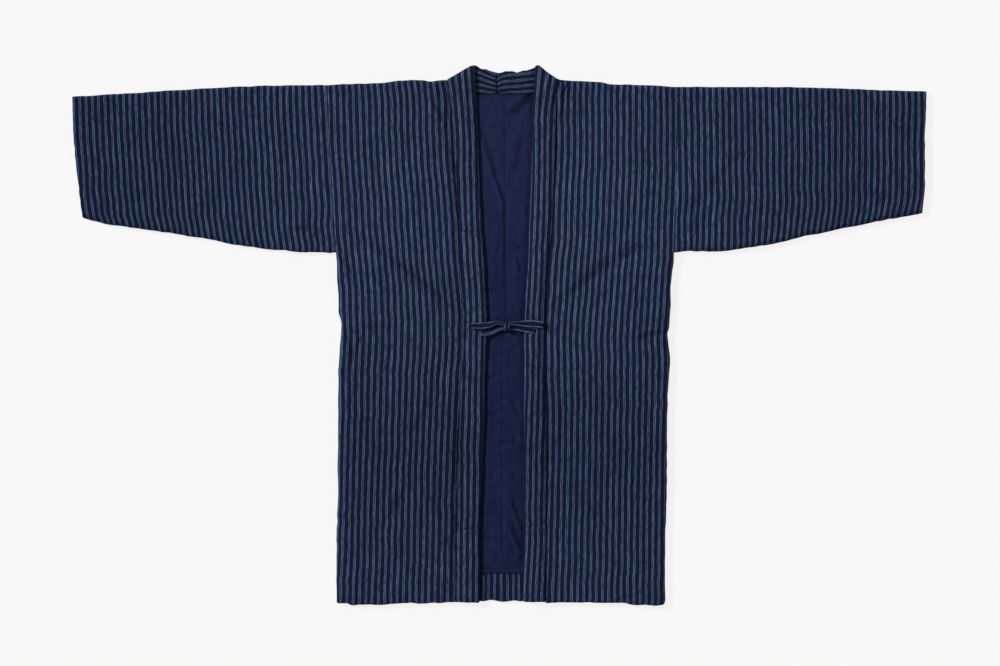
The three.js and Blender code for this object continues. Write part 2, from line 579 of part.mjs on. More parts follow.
function addBow() {
  const leftOfKnot = knot.x - knot.halfX - seamGap;
  const rightOfKnot = knot.x + knot.halfX + seamGap;
  const rise = tieThick + seamGap;
  const edgeLeft = bandFold("left", 14) + seamGap + 0.4;
  const edgeRight = bandFold("right", 14) - seamGap - 0.4;
  addStrap("tie_left", strapRow([
    [edgeLeft, 14, 10, tieWidth], [-10, 13.8, 10.5, tieWidth], [-3, 13.3, 11.2, 8.4], [leftOfKnot, knot.y, layers.tie, 6.5],
  ]));
  addStrap("tie_right", strapRow([
    [rightOfKnot, knot.y, layers.tie, 6.5], [25, 13.4, 11.2, 8.4], [31, 14, 10.5, tieWidth], [edgeRight, 14, 10, tieWidth],
  ]));
  const loop = (name, start, end, y) =>
    addStrap(name, strapRow([
      [start, knot.y + 1, layers.loop, 6], [mix(start, end, 0.4), y, onCollar + 0.5, 8.4],
      [mix(start, end, 0.8), y - 0.2, onCollar, tieWidth], [end, y - 0.6, onCollar + rise / 2 + 0.2, tieWidth],
      [mix(start, end, 0.8), y - 0.2, onCollar + rise + 0.4, tieWidth],
      [mix(start, end, 0.4), y + 0.3, onCollar + rise + 0.9, 8.8], [start, knot.y + 1.2, layers.loop + rise + 0.4, 6.2],
    ]));
  loop("bow_loop_left", leftOfKnot, -43, 15);
  loop("bow_loop_right", rightOfKnot, 68.6, 16);
  addStrap("bow_tail_left", strapRow([
    [leftOfKnot - 0.2, knot.y - 3.4, layers.tail, 5], [-4, 6.4, 13.5, 7.2, 0.35, 0.93, 0],
    [-14, 3.6, 14.1, 8.2, 0.3, 0.95, 0], [-25, 0.6, onCollar, 8.4, 0.1, 0.99, 0],
  ]));
  addStrap("bow_tail_right", strapRow([
    [rightOfKnot, knot.y - 3.4, layers.tail, 5], [29, 8.2, 13.5, 7, -0.2, 0.97, 0],
    [42, 5.6, onCollar - 0.1, 7.6, -0.25, 0.96, 0], [56, 3.8, onCollar, 7.6, -0.25, 0.96, 0],
  ]));
  const { x, y, halfX, halfY, low, high } = knot;
  addPanel("bow_knot", "stripe", {
    place: (u, v) => {
      const pinch = 1 - 0.18 * Math.sin(Math.PI * v);
      return { x: x + (u - 0.5) * 2 * halfX * pinch, y: y + (v - 0.5) * 2 * halfY };
    },
    columns: steps(4, 2 * halfX, [0, 0.9, 2.4]),
    rows: steps(4, 2 * halfY, [0, 0.9, 2.4]),
    under: () => low,
    over: () => high,
    rim: Object.fromEntries(["west", "east", "south", "north"].map((s) => [s, () => (low + high) / 2])),
    turn: 3.6,
  });
}

for (const side of ["left", "right"]) {
  addBack(side);
  addLining(side);
  addFront(side);
  addSleeve(side);
}
addHemTurn();
addNeck("collar_neck_left", neckLeft, true);
addNeck("collar_neck_right", neckRight, false);
addBand("collar_left_end", "left", null, bandEndJoinLeft);
addBand("collar_left_lower", "left", bandEndJoinLeft, bandJoinLeft);
addBand("collar_left_upper", "left", bandJoinLeft, null, peakLeft);
addBand("collar_right_end", "right", null, bandEndJoinRight);
addBand("collar_right_lower", "right", bandEndJoinRight, bandJoinRight);
addBand("collar_right_upper", "right", bandJoinRight, null, peakRight);
addBow();

export default garment;
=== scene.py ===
import bpy
import numpy as np
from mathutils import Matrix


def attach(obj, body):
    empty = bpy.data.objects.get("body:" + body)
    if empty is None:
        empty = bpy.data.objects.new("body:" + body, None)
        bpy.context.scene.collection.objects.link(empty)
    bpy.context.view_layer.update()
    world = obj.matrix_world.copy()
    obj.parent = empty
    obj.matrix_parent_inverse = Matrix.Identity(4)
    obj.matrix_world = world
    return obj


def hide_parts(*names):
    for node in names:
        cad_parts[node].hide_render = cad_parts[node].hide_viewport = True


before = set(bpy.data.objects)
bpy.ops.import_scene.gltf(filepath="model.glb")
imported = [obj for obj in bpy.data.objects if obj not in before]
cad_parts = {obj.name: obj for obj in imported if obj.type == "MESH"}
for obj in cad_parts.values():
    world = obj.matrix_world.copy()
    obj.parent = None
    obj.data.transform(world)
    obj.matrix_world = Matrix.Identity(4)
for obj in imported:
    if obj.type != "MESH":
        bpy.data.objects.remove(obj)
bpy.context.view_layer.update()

# Lengths are millimetres until a mesh is made. X runs from cuff to cuff, Y from hem to
# collar and Z up. Left is -X.
metre = 1000.0
wall = 5.0  # cover and wadding together
seamGap = 0.3
liningUnder = wall + seamGap
liningTop = liningUnder + 1.2
frontUnder = liningTop + seamGap
frontTop = frontUnder + wall
foldHeight = (wall + frontUnder) / 2  # where front and back meet at the side
collarTop = frontUnder + 6.6
seamHeight = 10.8  # where a front and the collar are sewn together
halfSpan = 665.0
topEnd = 420.5  # the collar's peak
armpit = 128.5
neckline = 375.4
hemTurnTop = -371.0
centreSeam = 6.0
collarCentre = -3.0


# A table is a dictionary of its columns.
def table(names, rows):
    return dict(zip(names.split(), np.array(rows, float).T))


# The shoulder fold and the top fold of the sleeves, from cuff to cuff.
topEdge = table("x y", [
    (-halfSpan, 371), (-593, 375.3), (-519, 380), (-425, 385.5), (-350, 388.6), (-268, 389.4),
    (-232, 390.9), (-182, 392.5), (-154, 396.3), (-123, 397), (-107, 394.2), (-92, 396.4),
    (-79, 397), (92, 397), (117, 395.6), (157, 394), (173, 390.9), (210, 389.4), (248, 387.8),
    (274, 386.2), (341, 386.2), (416, 386.2), (509, 384.7), (565, 383.1), (621, 380), (halfSpan, 379.2),
])
sleeveSeam = {
    "left": table("x y", [
        (-655, 187), (-646, 182), (-631, 177.5), (-575, 168.2), (-519, 160.4), (-463, 151.1),
        (-407, 140.2), (-369, 135.5), (-332, 131.6), (-294, 129.3), (-254, armpit),
    ]),
    "right": table("x y", [
        (272, armpit), (304, 130.8), (341, 130.8), (378, 135.5), (416, 141), (472, 153.4),
        (528, 165.1), (584, 176), (621, 183), (652, 188.5), (661, 191),
    ]),
}
# The side seam, and above the armpit the armhole seam.
sideEdge = {
    "left": table("y x", [
        (-421, -252.3), (-350, -253), (-304, -252.3), (-241, -250.7), (-163, -250.7), (-101, -250),
        (-54, -249.2), (-16, -246.8), (16, -245.3), (39, -249.2), (70, -250.7), (114, -252.3),
        (armpit, -254), (390, -268),
    ]),
    "right": table("y x", [
        (-421, 257.5), (-350, 257), (-319, 257.8), (-288, 258.5), (-241, 260.1), (-132, 260.1),
        (-101, 261.6), (-70, 263.2), (-39, 264.8), (-8, 263.2), (16, 264), (39, 265.5), (70, 266.3),
        (109, 270.2), (armpit, 272), (388, 278),
    ]),
}
cuffEdge = {
    "left": table("t x", [
        (0, -649), (0.12, -652), (0.36, -657.5), (0.62, -662), (0.87, -664.4), (1, -halfSpan)]),
    "right": table("t x", [
        (0, 658.8), (0.1, 660.4), (0.22, 662.6), (0.6, 662.4), (0.85, 664.2), (1, halfSpan)]),
}
frontHem = table("x y", [
    (-256, -417.4), (-238, -417.6), (-229, -420.5), (-218, -418.6), (-182, -418.9), (-145, -416.6),
    (-107, -416.8), (-70, -415.2), (-45, -416.2), (-30, -416.8), (36, -415.4), (60, -415.6),
    (80, -415.9), (117, -415.2), (154, -416), (192, -416.2), (210, -418.9), (229, -419.5),
    (243, -420.5), (258, -418.2),
])
backHem = table("x y", [
    (-256, -413.6), (-120, -412.6), (-27, -413.4), (-14, -411.2), (5, -413.8), (23, -412.4),
    (34, -413), (140, -412.2), (258, -413.4),
])
# The collar's long bands: the seam to the front, and the folded inner edge.
bandEdges = {
    "left": table("y seam fold", [
        (-421, -67.7, -30.2), (-288, -67, -28.8), (-226, -66, -26.5), (-195, -65.4, -25.8),
        (-132, -62.8, -23.4), (-70, -58.4, -22.6), (-23, -53, -20.2), (23, -52.2, -18.7),
        (70, -56.1, -21), (117, -59.2, -23.4), (163, -62, -27.3), (226, -66.8, -30.4),
        (288, -71, -32.7), (366, -76.8, -36.6), (398, -80.6, -38), (421, -82, -39),
    ]),
    "right": table("y seam fold", [
        (-421, 72.3, 35.8), (-350, 73.2, 38.9), (-288, 74, 39.7), (-226, 74.8, 39.3),
        (-117, 73.2, 38.9), (-54, 71.6, 38.9), (-8, 71.5, 38.9), (39, 72, 40.5), (70, 73.2, 42),
        (117, 76.3, 45.2), (156, 81, 46.3), (210, 84.1, 48.3), (265, 87.2, 50.6), (319, 88.6, 52.4),
        (372, 89.6, 54.2), (386, 91.6, 54.8), (398, 94.5, 55.2), (421, 97, 56.1),
    ]),
}
# The collar at the neck: the seam to the back, and the folded top edge.
neckEdges = {
    "left": table("seamX seamY foldX foldY", [
        (-79.2, 397, -39, topEnd), (-71, 387, -35, 419), (-60, 380.4, -29.5, 415.8),
        (-47, 377.2, -22.6, 414.3), (-33, 376, -15, 411.4), (-18, 375.9, -9, 410.1),
        (collarCentre, 375.8, collarCentre, 408.8),
    ]),
    "right": table("seamX seamY foldX foldY", [
        (collarCentre, 375.8, collarCentre, 408.8), (5, 375.9, 3.5, 408.8), (14, 375.9, 10, 411.7),
        (31, 376, 20, 411), (47, 376.2, 27, 409.2), (62, 377.6, 36, 411.6), (76, 381.6, 44, 412.8),
        (86, 388.4, 50, 415.2), (92, 397, 56, 418),
    ]),
}
# The collar's slope from the shoulder up to its peak.
collarPeak = {
    "left": table("x y", [
        (-82, 398), (-76.3, 401), (-63.9, 408.2), (-51.4, 415.7), (-45.2, 418.9), (-42, 419.8),
        (-38.5, topEnd - 0.3)]),
    "right": table("x y", [
        (56, 418.6), (58, 420), (60.7, topEnd), (64, 418.8), (67, 416.2), (76.3, 408.5), (85.7, 402.2),
        (91, 398.9), (97, 397.4)]),
}
toward = {"left": -1, "right": 1}
outerRim, innerRim, northRim = {"left": 0, "right": 1}, {"left": 1, "right": 0}, 3
# The distance between pale bands at the rims and on the back. On a rim the stripes run on by
# the share aroundRim of the height that it has turned through.
stripePitch = 9.7
backPitch = 9.8
aroundRim = 0.6


# The outer one of a pair and the inner one, in order from west to east.
def westToEast(which, outer, inner):
    return [outer, inner] if which == "left" else [inner, outer]


# A cubic through a table's rows that never runs past the rows beside it.
def along(rows, of, to, at):
    x, y = rows[of], rows[to]
    secant = np.diff(y) / np.diff(x)
    before, after = secant[:-1], secant[1:]
    turns = before * after <= 0
    inner = np.where(turns, 0, 2 * before * after / np.where(turns, 1, before + after))
    slope = np.concatenate([secant[:1], inner, secant[-1:]])
    at = np.clip(at, x[0], x[-1])
    i = np.clip(np.searchsorted(x, at) - 1, 0, len(x) - 2)
    step = x[i + 1] - x[i]
    t = (at - x[i]) / step
    ends = y[i] * (1 - t) ** 2 * (1 + 2 * t) + y[i + 1] * t**2 * (3 - 2 * t)
    return ends + step * t * (1 - t) * (slope[i] * (1 - t) - slope[i + 1] * t)


# Goes from 0 at low to 1 at high: t^2 (3 - 2t).
def smooth(low, high, value):
    t = np.clip((value - low) / (high - low), 0, 1)
    return t * t * (3 - 2 * t)


# A soft bump, 1 in the middle: exp(-(away / width)^2).
def bump(away, width):
    return np.exp(-((away / width) ** 2))


# Uneven values from -1 to 1 on a lattice of sizeX by sizeY, with a soft blend between.
def uneven(x, y, sizeX, sizeY, seed):
    lattice = np.random.default_rng(seed).uniform(-1, 1, (256, 256))
    gx, gy = np.asarray(x) / sizeX + 100.37, np.asarray(y) / sizeY + 100.71
    i, j = np.floor(gx).astype(int), np.floor(gy).astype(int)
    fx, fy = gx - i, gy - j
    fx, fy = (f**3 * (f * (6 * f - 15) + 10) for f in (fx, fy))
    at = lambda di, dj: lattice[(i + di) % 256, (j + dj) % 256]
    return (at(0, 0) * (1 - fx) + at(1, 0) * fx) * (1 - fy) + (at(0, 1) * (1 - fx) + at(1, 1) * fx) * fy


# The same along a line.
def ripple(place, size, seed):
    return uneven(place, 0, size, 1, seed)


# One crease: its line, its depth and width, how high its banks stand as a share of the
# depth, and how much painted shade darkens its line.
def crease(path, depth, width, seed, ridge=0.35, paintedShade=0.0):
    path = np.array(path, float)
    return {"path": path, "depth": depth, "width": width, "seed": seed, "ridge": ridge, "paintedShade": paintedShade}


# Soft creases: on each line the cloth drops by depth * exp(-s^2). On one side of it the cloth
# stands up by depth * ridge * exp(-((s - 1.7) / 0.9)^2), and on the other by 0.4 of that. s is
# the distance over the width. Each crease fades out towards both ends of its line.
def creases(x, y, rows):
    total = np.zeros(np.shape(x))
    for row in rows:
        path, width, ridge = row["path"], row["width"], row["ridge"]
        run = np.concatenate([[0], np.cumsum(np.hypot(*np.diff(path, axis=0).T))])
        fine = np.linspace(0, run[-1], max(6, int(run[-1] / 5)))
        columns = {"run": run, "x": path[:, 0], "y": path[:, 1]}
        px, py = along(columns, "run", "x", fine), along(columns, "run", "y", fine)
        near = (x > px.min() - 4 * width) & (x < px.max() + 4 * width)
        near &= (y > py.min() - 4 * width) & (y < py.max() + 4 * width)
        if not near.any():
            continue
        qx, qy = x[near], y[near]
        best = np.full(qx.shape, 1e9)
        bank = np.zeros(qx.shape)
        place = np.zeros(qx.shape)
        for k in range(len(fine) - 1):
            ax, ay, bx, by = px[k], py[k], px[k + 1], py[k + 1]
            dx, dy = bx - ax, by - ay
            t = np.clip(((qx - ax) * dx + (qy - ay) * dy) / (dx * dx + dy * dy), 0, 1)
            away = np.hypot(qx - ax - dx * t, qy - ay - dy * t)
            nearer = away < best
            best = np.where(nearer, away, best)
            bank = np.where(nearer, np.sign((qx - ax) * dy - (qy - ay) * dx), bank)
            place = np.where(nearer, fine[k] + t * (fine[k + 1] - fine[k]), place)
        fade = np.sin(np.pi * np.clip(place / run[-1], 0.02, 0.98)) ** 0.6
        fade = fade * (1 + 0.35 * ripple(place, 17, 900 + row["seed"]))
        s = best * bank / width
        drop = -np.exp(-s * s) + ridge * bump(s - 1.7, 0.9) + 0.4 * ridge * bump(s + 1.7, 0.9)
        total[near] += row["depth"] * fade * drop
    return total


# Painted shade along the lines of the creases that are pressed in: how much darker the cloth is there.
def paintedCreaseShade(x, y, rows):
    return creases(x, y, [row | {"depth": row["paintedShade"], "ridge": 0.0} for row in rows if row["paintedShade"]])


# Shares of a width, close together at the ends, where the rim turns, and even between.
def shares(size, spacing, insets):
    insets = np.array(insets, float)
    inner = np.linspace(0, size, max(2, round(size / spacing)) + 1)
    inner = inner[(inner > insets[-1] + spacing * 0.6) & (inner < size - insets[-1] - spacing * 0.6)]
    return np.concatenate([insets, inner, size - insets[::-1]]) / size


# A mesh of points in mm and arrays of faces, with the cloth attribute that the colours read.
def makeMesh(name, points, faces, cloth):
    mesh = bpy.data.meshes.new(name)
    mesh.vertices.add(len(points))
    mesh.vertices.foreach_set("co", (np.asarray(points, float) / metre).ravel())
    corners = np.concatenate([f.ravel() for f in faces])
    sizes = np.concatenate([np.full(len(f), f.shape[1]) for f in faces])
    mesh.loops.add(len(corners))
    mesh.loops.foreach_set("vertex_index", corners.astype(np.int32))
    mesh.polygons.add(len(sizes))
    mesh.polygons.foreach_set("loop_start", np.concatenate([[0], np.cumsum(sizes)[:-1]]).astype(np.int32))
    mesh.polygons.foreach_set("use_smooth", np.ones(len(sizes), bool))
    mesh.update(calc_edges=True)
    mesh.validate()
    attribute = mesh.attributes.new("cloth", "FLOAT_VECTOR", "POINT")
    attribute.data.foreach_set("vector", np.asarray(cloth, float).ravel())
    return mesh


# Puts a piece in the scene. cloth holds, for each point, its place across the stripes in
# periods, its place along them in mm, and how much lighter it is, painted light and shade included.
def addPiece(piece, points, faces, cloth):
    name = piece["nodes"][0] + "_cloth"
    mesh = makeMesh(name, points, faces, cloth)
    mesh.materials.append(materials[piece["slot"]])
    made = bpy.data.objects.new(name, mesh)
    bpy.context.scene.collection.objects.link(made)
    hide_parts(*piece["nodes"])
    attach(made, "root")


# The faces of a grid of rows by columns, anticlockwise as seen from above.
def gridFaces(index):
    a, b, c, d = index[:-1, :-1], index[:-1, 1:], index[1:, 1:], index[1:, :-1]
    return np.stack([a, b, c, d], -1).reshape(-1, 4)


# A padded slab on a grid in plan. Its upper and under faces meet in a rim, and each
# turns to it through a quarter ellipse: z = rim + (face - rim) * sqrt(1 - (1 - d/turn)^2).
# rims, turns and underTurns give west, east, south and north. The last result is how far
# each of those turns has carried a point from its face towards the rim.
def slab(x, y, over, under, rims, turns, underTurns):
    n, m = x.shape
    away = np.stack([
        np.hypot(x - x[:, :1], y - y[:, :1]), np.hypot(x - x[:, -1:], y - y[:, -1:]),
        np.hypot(x - x[:1], y - y[:1]), np.hypot(x - x[-1:], y - y[-1:]),
    ])
    near = (away + 0.02) ** -2.0
    rim = sum(w * (r(x, y) if callable(r) else r) for w, r in zip(near, rims)) / near.sum(0)

    def rises(radii):
        e = [np.clip(d / (r(x, y) if callable(r) else r), 0, 1) for d, r in zip(away, radii)]
        return np.array([np.sqrt(1 - (1 - k) ** 2) for k in e])

    upperRises, lowerRises = rises(turns), rises(underTurns)
    upper = rim + (over - rim) * np.prod(upperRises, axis=0)
    lower = rim + (under - rim) * np.prod(lowerRises, axis=0)
    top = np.stack([x, y, upper], -1).reshape(-1, 3)
    inside = np.zeros((n, m), bool)
    inside[1:-1, 1:-1] = True
    index = np.arange(n * m).reshape(n, m)
    below = index.copy()
    below[inside] = n * m + np.arange(inside.sum())
    bottom = np.stack([x, y, lower], -1)[inside]
    faces = [gridFaces(index), gridFaces(below)[:, ::-1]]
    take = np.concatenate([index.ravel(), index[inside]])
    upperTurned, lowerTurned = (over - rim) * (1 - upperRises), (rim - under) * (1 - lowerRises)
    turned = np.concatenate([upperTurned.reshape(4, -1), lowerTurned[:, inside]], 1)
    return np.concatenate([top, bottom]), faces, take, turned


# Adds a slab as a piece. rim is the number of the rim that its stripes run on round, and way
# which way they count there: 1, -1, or 0 where they stop.
def addSlab(piece, made, phase, run, tone, rim=0, way=0):
    points, faces, take, turned = made
    cloth = np.stack([phase, run, tone], -1).reshape(-1, 3)[take]
    cloth[:, 0] += way * aroundRim * turned[rim] / stripePitch
    addPiece(piece, points, faces, cloth)


# A plan between a west and an east edge, x by y, and a south and a north edge, y by x.
def between(west, east, south, north, u, v):
    u, v = np.meshgrid(u, v)
    x = west(0 * v) + (east(0 * v) - west(0 * v)) * u
    for _ in range(6):
        y = south(x) + (north(x) - south(x)) * v
        x = west(y) + (east(y) - west(y)) * u
    return x, y


# Turns the square corner of a plan at (cornerX, cornerY) into a round one.
def roundCorner(x, y, cornerX, cornerY, signX, signY, radius):
    p = signX * (x - cornerX) / radius + 1
    q = signY * (y - cornerY) / radius + 1
    inside = (p > 0) & (q > 0)
    p, q = np.clip(p, 0, 1), np.clip(q, 0, 1)
    newX = cornerX + signX * radius * (p * np.sqrt(1 - q * q / 2) - 1)
    newY = cornerY + signY * radius * (q * np.sqrt(1 - p * p / 2) - 1)
    return np.where(inside, newX, x), np.where(inside, newY, y)


# Rounds the corner between the side seam and a hem, whose place is taken at this height.
def roundHem(which, x, y, hem, height, radius):
    cornerX = along(sideEdge[which], "y", "x", height)
    return roundCorner(x, y, cornerX, along(hem, "x", "y", cornerX), toward[which], -1, radius)


# The side seam as it is sewn, with its small waves below the armpit.
def side(which, y):
    wave = 0.7 * ripple(y, 13, 31 + toward[which]) + 0.5 * ripple(y, 37, 41 + toward[which])
    wave = (wave + 0.9 * toward[which]) * smooth(armpit + 8, armpit - 16, y)
    return along(sideEdge[which], "y", "x", y) + wave


# The same for the edges of front and back, pulled in to a notch beside the bow on the right.
def notchedSide(which, y):
    sign = toward[which]
    return side(which, y) - sign * (0.1 + (sign > 0) * 2.2 * bump(y - 2, 7))


# The top edge with its small waves, which die out where the collar crosses it.
def shoulder(x):
    wave = 0.55 * ripple(x, 12, 51) + 0.35 * ripple(x, 31, 52)
    fromCollar = np.abs(np.abs(x - 6.4) - 85.6)
    return along(topEdge, "x", "y", x) + (wave + 0.4) * smooth(0.5, 2.5, fromCollar)


def bandSeam(which, y):
    return along(bandEdges[which], "y", "seam", y)


# The joins in the bands: the height of each at the band's middle, and how far it slants.
joins = {"left": {-300: -0.22, 162: -0.05}, "right": {-295: 0.14, -50: -0.2}}


# The folded inner edge, which is a little notched at the joins.
def bandFold(which, y):
    wave = 0.35 * ripple(y, 23, 61 + toward[which]) + 0.2 * ripple(y, 9, 64 + toward[which])
    notches = sum(bump(y - height, 3) for height in joins[which])
    return along(bandEdges[which], "y", "fold", y) + wave + 0.8 * toward[which] * notches


# The materials

def put(tree, kind, values=None, **settings):
    made = tree.nodes.new("ShaderNode" + kind)
    for key, value in settings.items():
        setattr(made, key, value)
    for where, value in (values or {}).items():
        if isinstance(value, bpy.types.NodeSocket):
            tree.links.new(value, made.inputs[where])
        else:
            made.inputs[where].default_value = value
    return made


def maths(tree, operation, *values, clamp=False):
    return put(tree, "Math", dict(enumerate(values)), operation=operation, use_clamp=clamp).outputs[0]


# Goes from 0 to 1 between two values, eased at both ends.
def ease(tree, value, low, high, least=0.0, most=1.0):
    values = {"Value": value, "From Min": low, "From Max": high, "To Min": least, "To Max": most}
    return put(tree, "MapRange", values, interpolation_type="SMOOTHSTEP").outputs[0]


def noise(tree, x, y, z=0.0, detail=2.0, rough=0.5):
    vector = put(tree, "CombineXYZ", {0: x, 1: y, 2: z}).outputs[0]
    values = {"Vector": vector, "Scale": 1.0, "Detail": detail, "Roughness": rough}
    return put(tree, "TexNoise", values).outputs["Fac"]


def mixColours(tree, factor, a, b, blend="MIX"):
    made = put(tree, "Mix", {0: factor, 6: a, 7: b}, data_type="RGBA", blend_type=blend)
    return made.outputs[2]


def newGroup(name, outputs):
    group = bpy.data.node_groups.new(name, "ShaderNodeTree")
    for label, kind in outputs.items():
        group.interface.new_socket(name=label, in_out="OUTPUT", socket_type="NodeSocket" + kind)
    return group, group.nodes.new("NodeGroupOutput")


# sRGB out of 255, as a linear colour.
def colour(red, green, blue):
    value = np.array([red, green, blue]) / 255
    linear = np.where(value <= 0.04045, value / 12.92, ((value + 0.055) / 1.055) ** 2.4)
    return (*linear.tolist(), 1.0)


# Noise over a place across the stripes and along them, from low to high.
def drift(tree, across, run, scaleAcross, scaleRun, seed, low, high, detail=2.0):
    x, y = maths(tree, "MULTIPLY", across, scaleAcross), maths(tree, "MULTIPLY", run, scaleRun)
    return ease(tree, noise(tree, x, y, seed, detail), 0.28, 0.72, low, high)


def lighten(tree, tint, value):
    grey = put(tree, "CombineColor", {0: value, 1: value, 2: value}).outputs[0]
    return mixColours(tree, 1.0, tint, grey, "MULTIPLY")


# The tints of the pale bands, from slate to a greener blue.
paleTints = [
    (0.0, (81, 85, 115)), (0.3, (78, 87, 115)), (0.6, (79, 91, 112)), (0.85, (76, 89, 117)),
    (1.0, (71, 92, 121)),
]


# A band's two lines lie off its middle by lineOff of a period and fade from lineCore to
# lineEdge. The band itself fades from bandCore to bandEdge.
stripeLook = {
    "lineOff": (0.1, 0.18), "lineCore": 0.02, "lineEdge": 0.105, "lineStrength": (0.25, 1.35),
    "bandCore": 0.155, "bandEdge": (0.21, 0.27), "bandStrength": 0.2, "linesOnBand": 0.88,
    "lift": (0.92, 1.12), "ownLift": 0.19,
}


# The striped cover. A pale band every period holds two fine lines of paler yarn, which
# come and go. Each band has its own tint, which changes along it, and the dark ground
# between is a little uneven. The cloth attribute gives the place across the stripes in
# periods, the place along them in mm, and how much lighter or darker the cloth is there, painted light and
# shade included.
def stripesGroup():
    group, end = newGroup("stripes", {"Color": "Color", "Band": "Float"})
    cloth = put(group, "Attribute", attribute_name="cloth").outputs["Vector"]
    phase, run, tone = put(group, "SeparateXYZ", {0: cloth}).outputs
    sway = drift(group, phase, run, 0.1, 0.016, 3.0, -0.06, 0.06, 1.0)
    shake = drift(group, phase, run, 0.5, 0.055, 7.0, -0.02, 0.02, 1.0)
    bent = maths(group, "ADD", phase, maths(group, "ADD", sway, shake))
    number = maths(group, "FLOOR", maths(group, "ADD", bent, 0.5))
    off = maths(group, "SUBTRACT", bent, number)
    lines = []
    look = stripeLook
    for way, seed in ((-1.0, 11.0), (1.0, 23.0)):
        centre = drift(group, number, run, 3.1, 0.05, seed, *(far * way for far in look["lineOff"]), 1.0)
        away = maths(group, "ABSOLUTE", maths(group, "SUBTRACT", off, centre))
        strength = drift(group, number, run, 4.3, 0.08, seed + 5, *look["lineStrength"], 1.5)
        line = ease(group, away, look["lineEdge"], look["lineCore"])
        lines.append(maths(group, "MULTIPLY", line, strength))
    bandEdge = drift(group, number, run, 2.3, 0.02, 41.0, *look["bandEdge"])
    fill = ease(group, maths(group, "ABSOLUTE", off), bandEdge, look["bandCore"])
    line = maths(group, "MULTIPLY", maths(group, "MAXIMUM", *lines), look["linesOnBand"])
    pale = maths(group, "MULTIPLY", fill, maths(group, "ADD", look["bandStrength"], line))
    chance = put(group, "TexWhiteNoise", {"W": number}, noise_dimensions="1D").outputs
    wander = drift(group, number, run, 5.3, 0.012, 1.0, -0.3, 0.3)
    tints = put(group, "ValToRGB", {0: maths(group, "ADD", chance["Value"], wander, clamp=True)})
    ramp = tints.color_ramp
    while len(ramp.elements) < len(paleTints):
        ramp.elements.new(0.5)
    for element, (place, tint) in zip(ramp.elements, paleTints):
        element.position, element.color = place, colour(*tint)
    own = put(group, "SeparateColor", {0: chance["Color"]}).outputs[1]
    lift = drift(group, number, run, 3.1, 0.02, 29.0, *look["lift"])
    lift = maths(group, "ADD", lift, maths(group, "MULTIPLY", own, look["ownLift"]))
    bright = lighten(group, tints.outputs[0], lift)
    teal = drift(group, phase, run, 0.9, 0.03, 31.0, 0.0, 1.0, 3.0)
    deep = drift(group, phase, run, 1.7, 0.06, 37.0, 0.0, 1.0, 3.0)
    ground = mixColours(group, teal, colour(19, 22, 48), colour(10, 27, 47))
    ground = mixColours(group, deep, ground, colour(18, 29, 52))
    both = mixColours(group, pale, ground, bright)
    yarn = drift(group, phase, run, 14.0, 0.2, 19.0, 0.86, 1.14, 3.0)
    final = lighten(group, both, maths(group, "MULTIPLY", yarn, maths(group, "ADD", 1.0, tone)))
    group.links.new(final, end.inputs["Color"])
    group.links.new(pale, end.inputs["Band"])
    return group


# In a metre, the radians of the weave's waves, and how often the crinkles change along X, Y
# and Z. They are longer than they are wide.
threadTurns = 5700.0
crinkleScales = (230.0, 120.0, 230.0)


# The cloth's surface: crinkles left by washing, and the threads of a plain weave.
def weaveGroup():
    group, end = newGroup("weave", {"Height": "Float", "Fine": "Float"})
    place = put(group, "TexCoord").outputs["Object"]
    parts = put(group, "SeparateXYZ", {0: place}).outputs
    threads = [maths(group, "SINE", maths(group, "MULTIPLY", parts[k], threadTurns)) for k in (0, 1)]
    weave = maths(group, "MULTIPLY", *threads)
    stretched = [maths(group, "MULTIPLY", part, scale) for part, scale in zip(parts, crinkleScales)]
    crinkle = noise(group, *stretched, detail=4.0, rough=0.55)
    group.links.new(crinkle, end.inputs["Height"])
    group.links.new(weave, end.inputs["Fine"])
    return group


# The lining: plain indigo cotton, a little uneven in its dye and darker towards the hem.
def dyeGroup():
    group, end = newGroup("dye", {"Color": "Color"})
    cloth = put(group, "Attribute", attribute_name="cloth").outputs["Vector"]
    across, run, tone = put(group, "SeparateXYZ", {0: cloth}).outputs
    base = mixColours(group, ease(group, run, -60.0, 330.0), colour(24, 31, 61), colour(30, 37, 68))
    patches = drift(group, across, run, 0.3, 0.02, 2.0, 0.0, 0.4, 3.0)
    base = mixColours(group, patches, base, colour(33, 40, 67))
    yarn = drift(group, across, run, 9.0, 0.9, 5.0, 0.9, 1.1, 3.0)
    mottled = drift(group, across, run, 0.8, 0.1, 8.0, 0.92, 1.08, 3.0)
    final = lighten(group, base, maths(group, "MULTIPLY", yarn, maths(group, "ADD", mottled, tone)))
    group.links.new(final, end.inputs["Color"])
    return group


weaveNodes = weaveGroup()
stripeNodes = stripesGroup()
dyeNodes = dyeGroup()


# Depths in metres.
threadDepth, yarnDepth = 0.00007, 0.00012


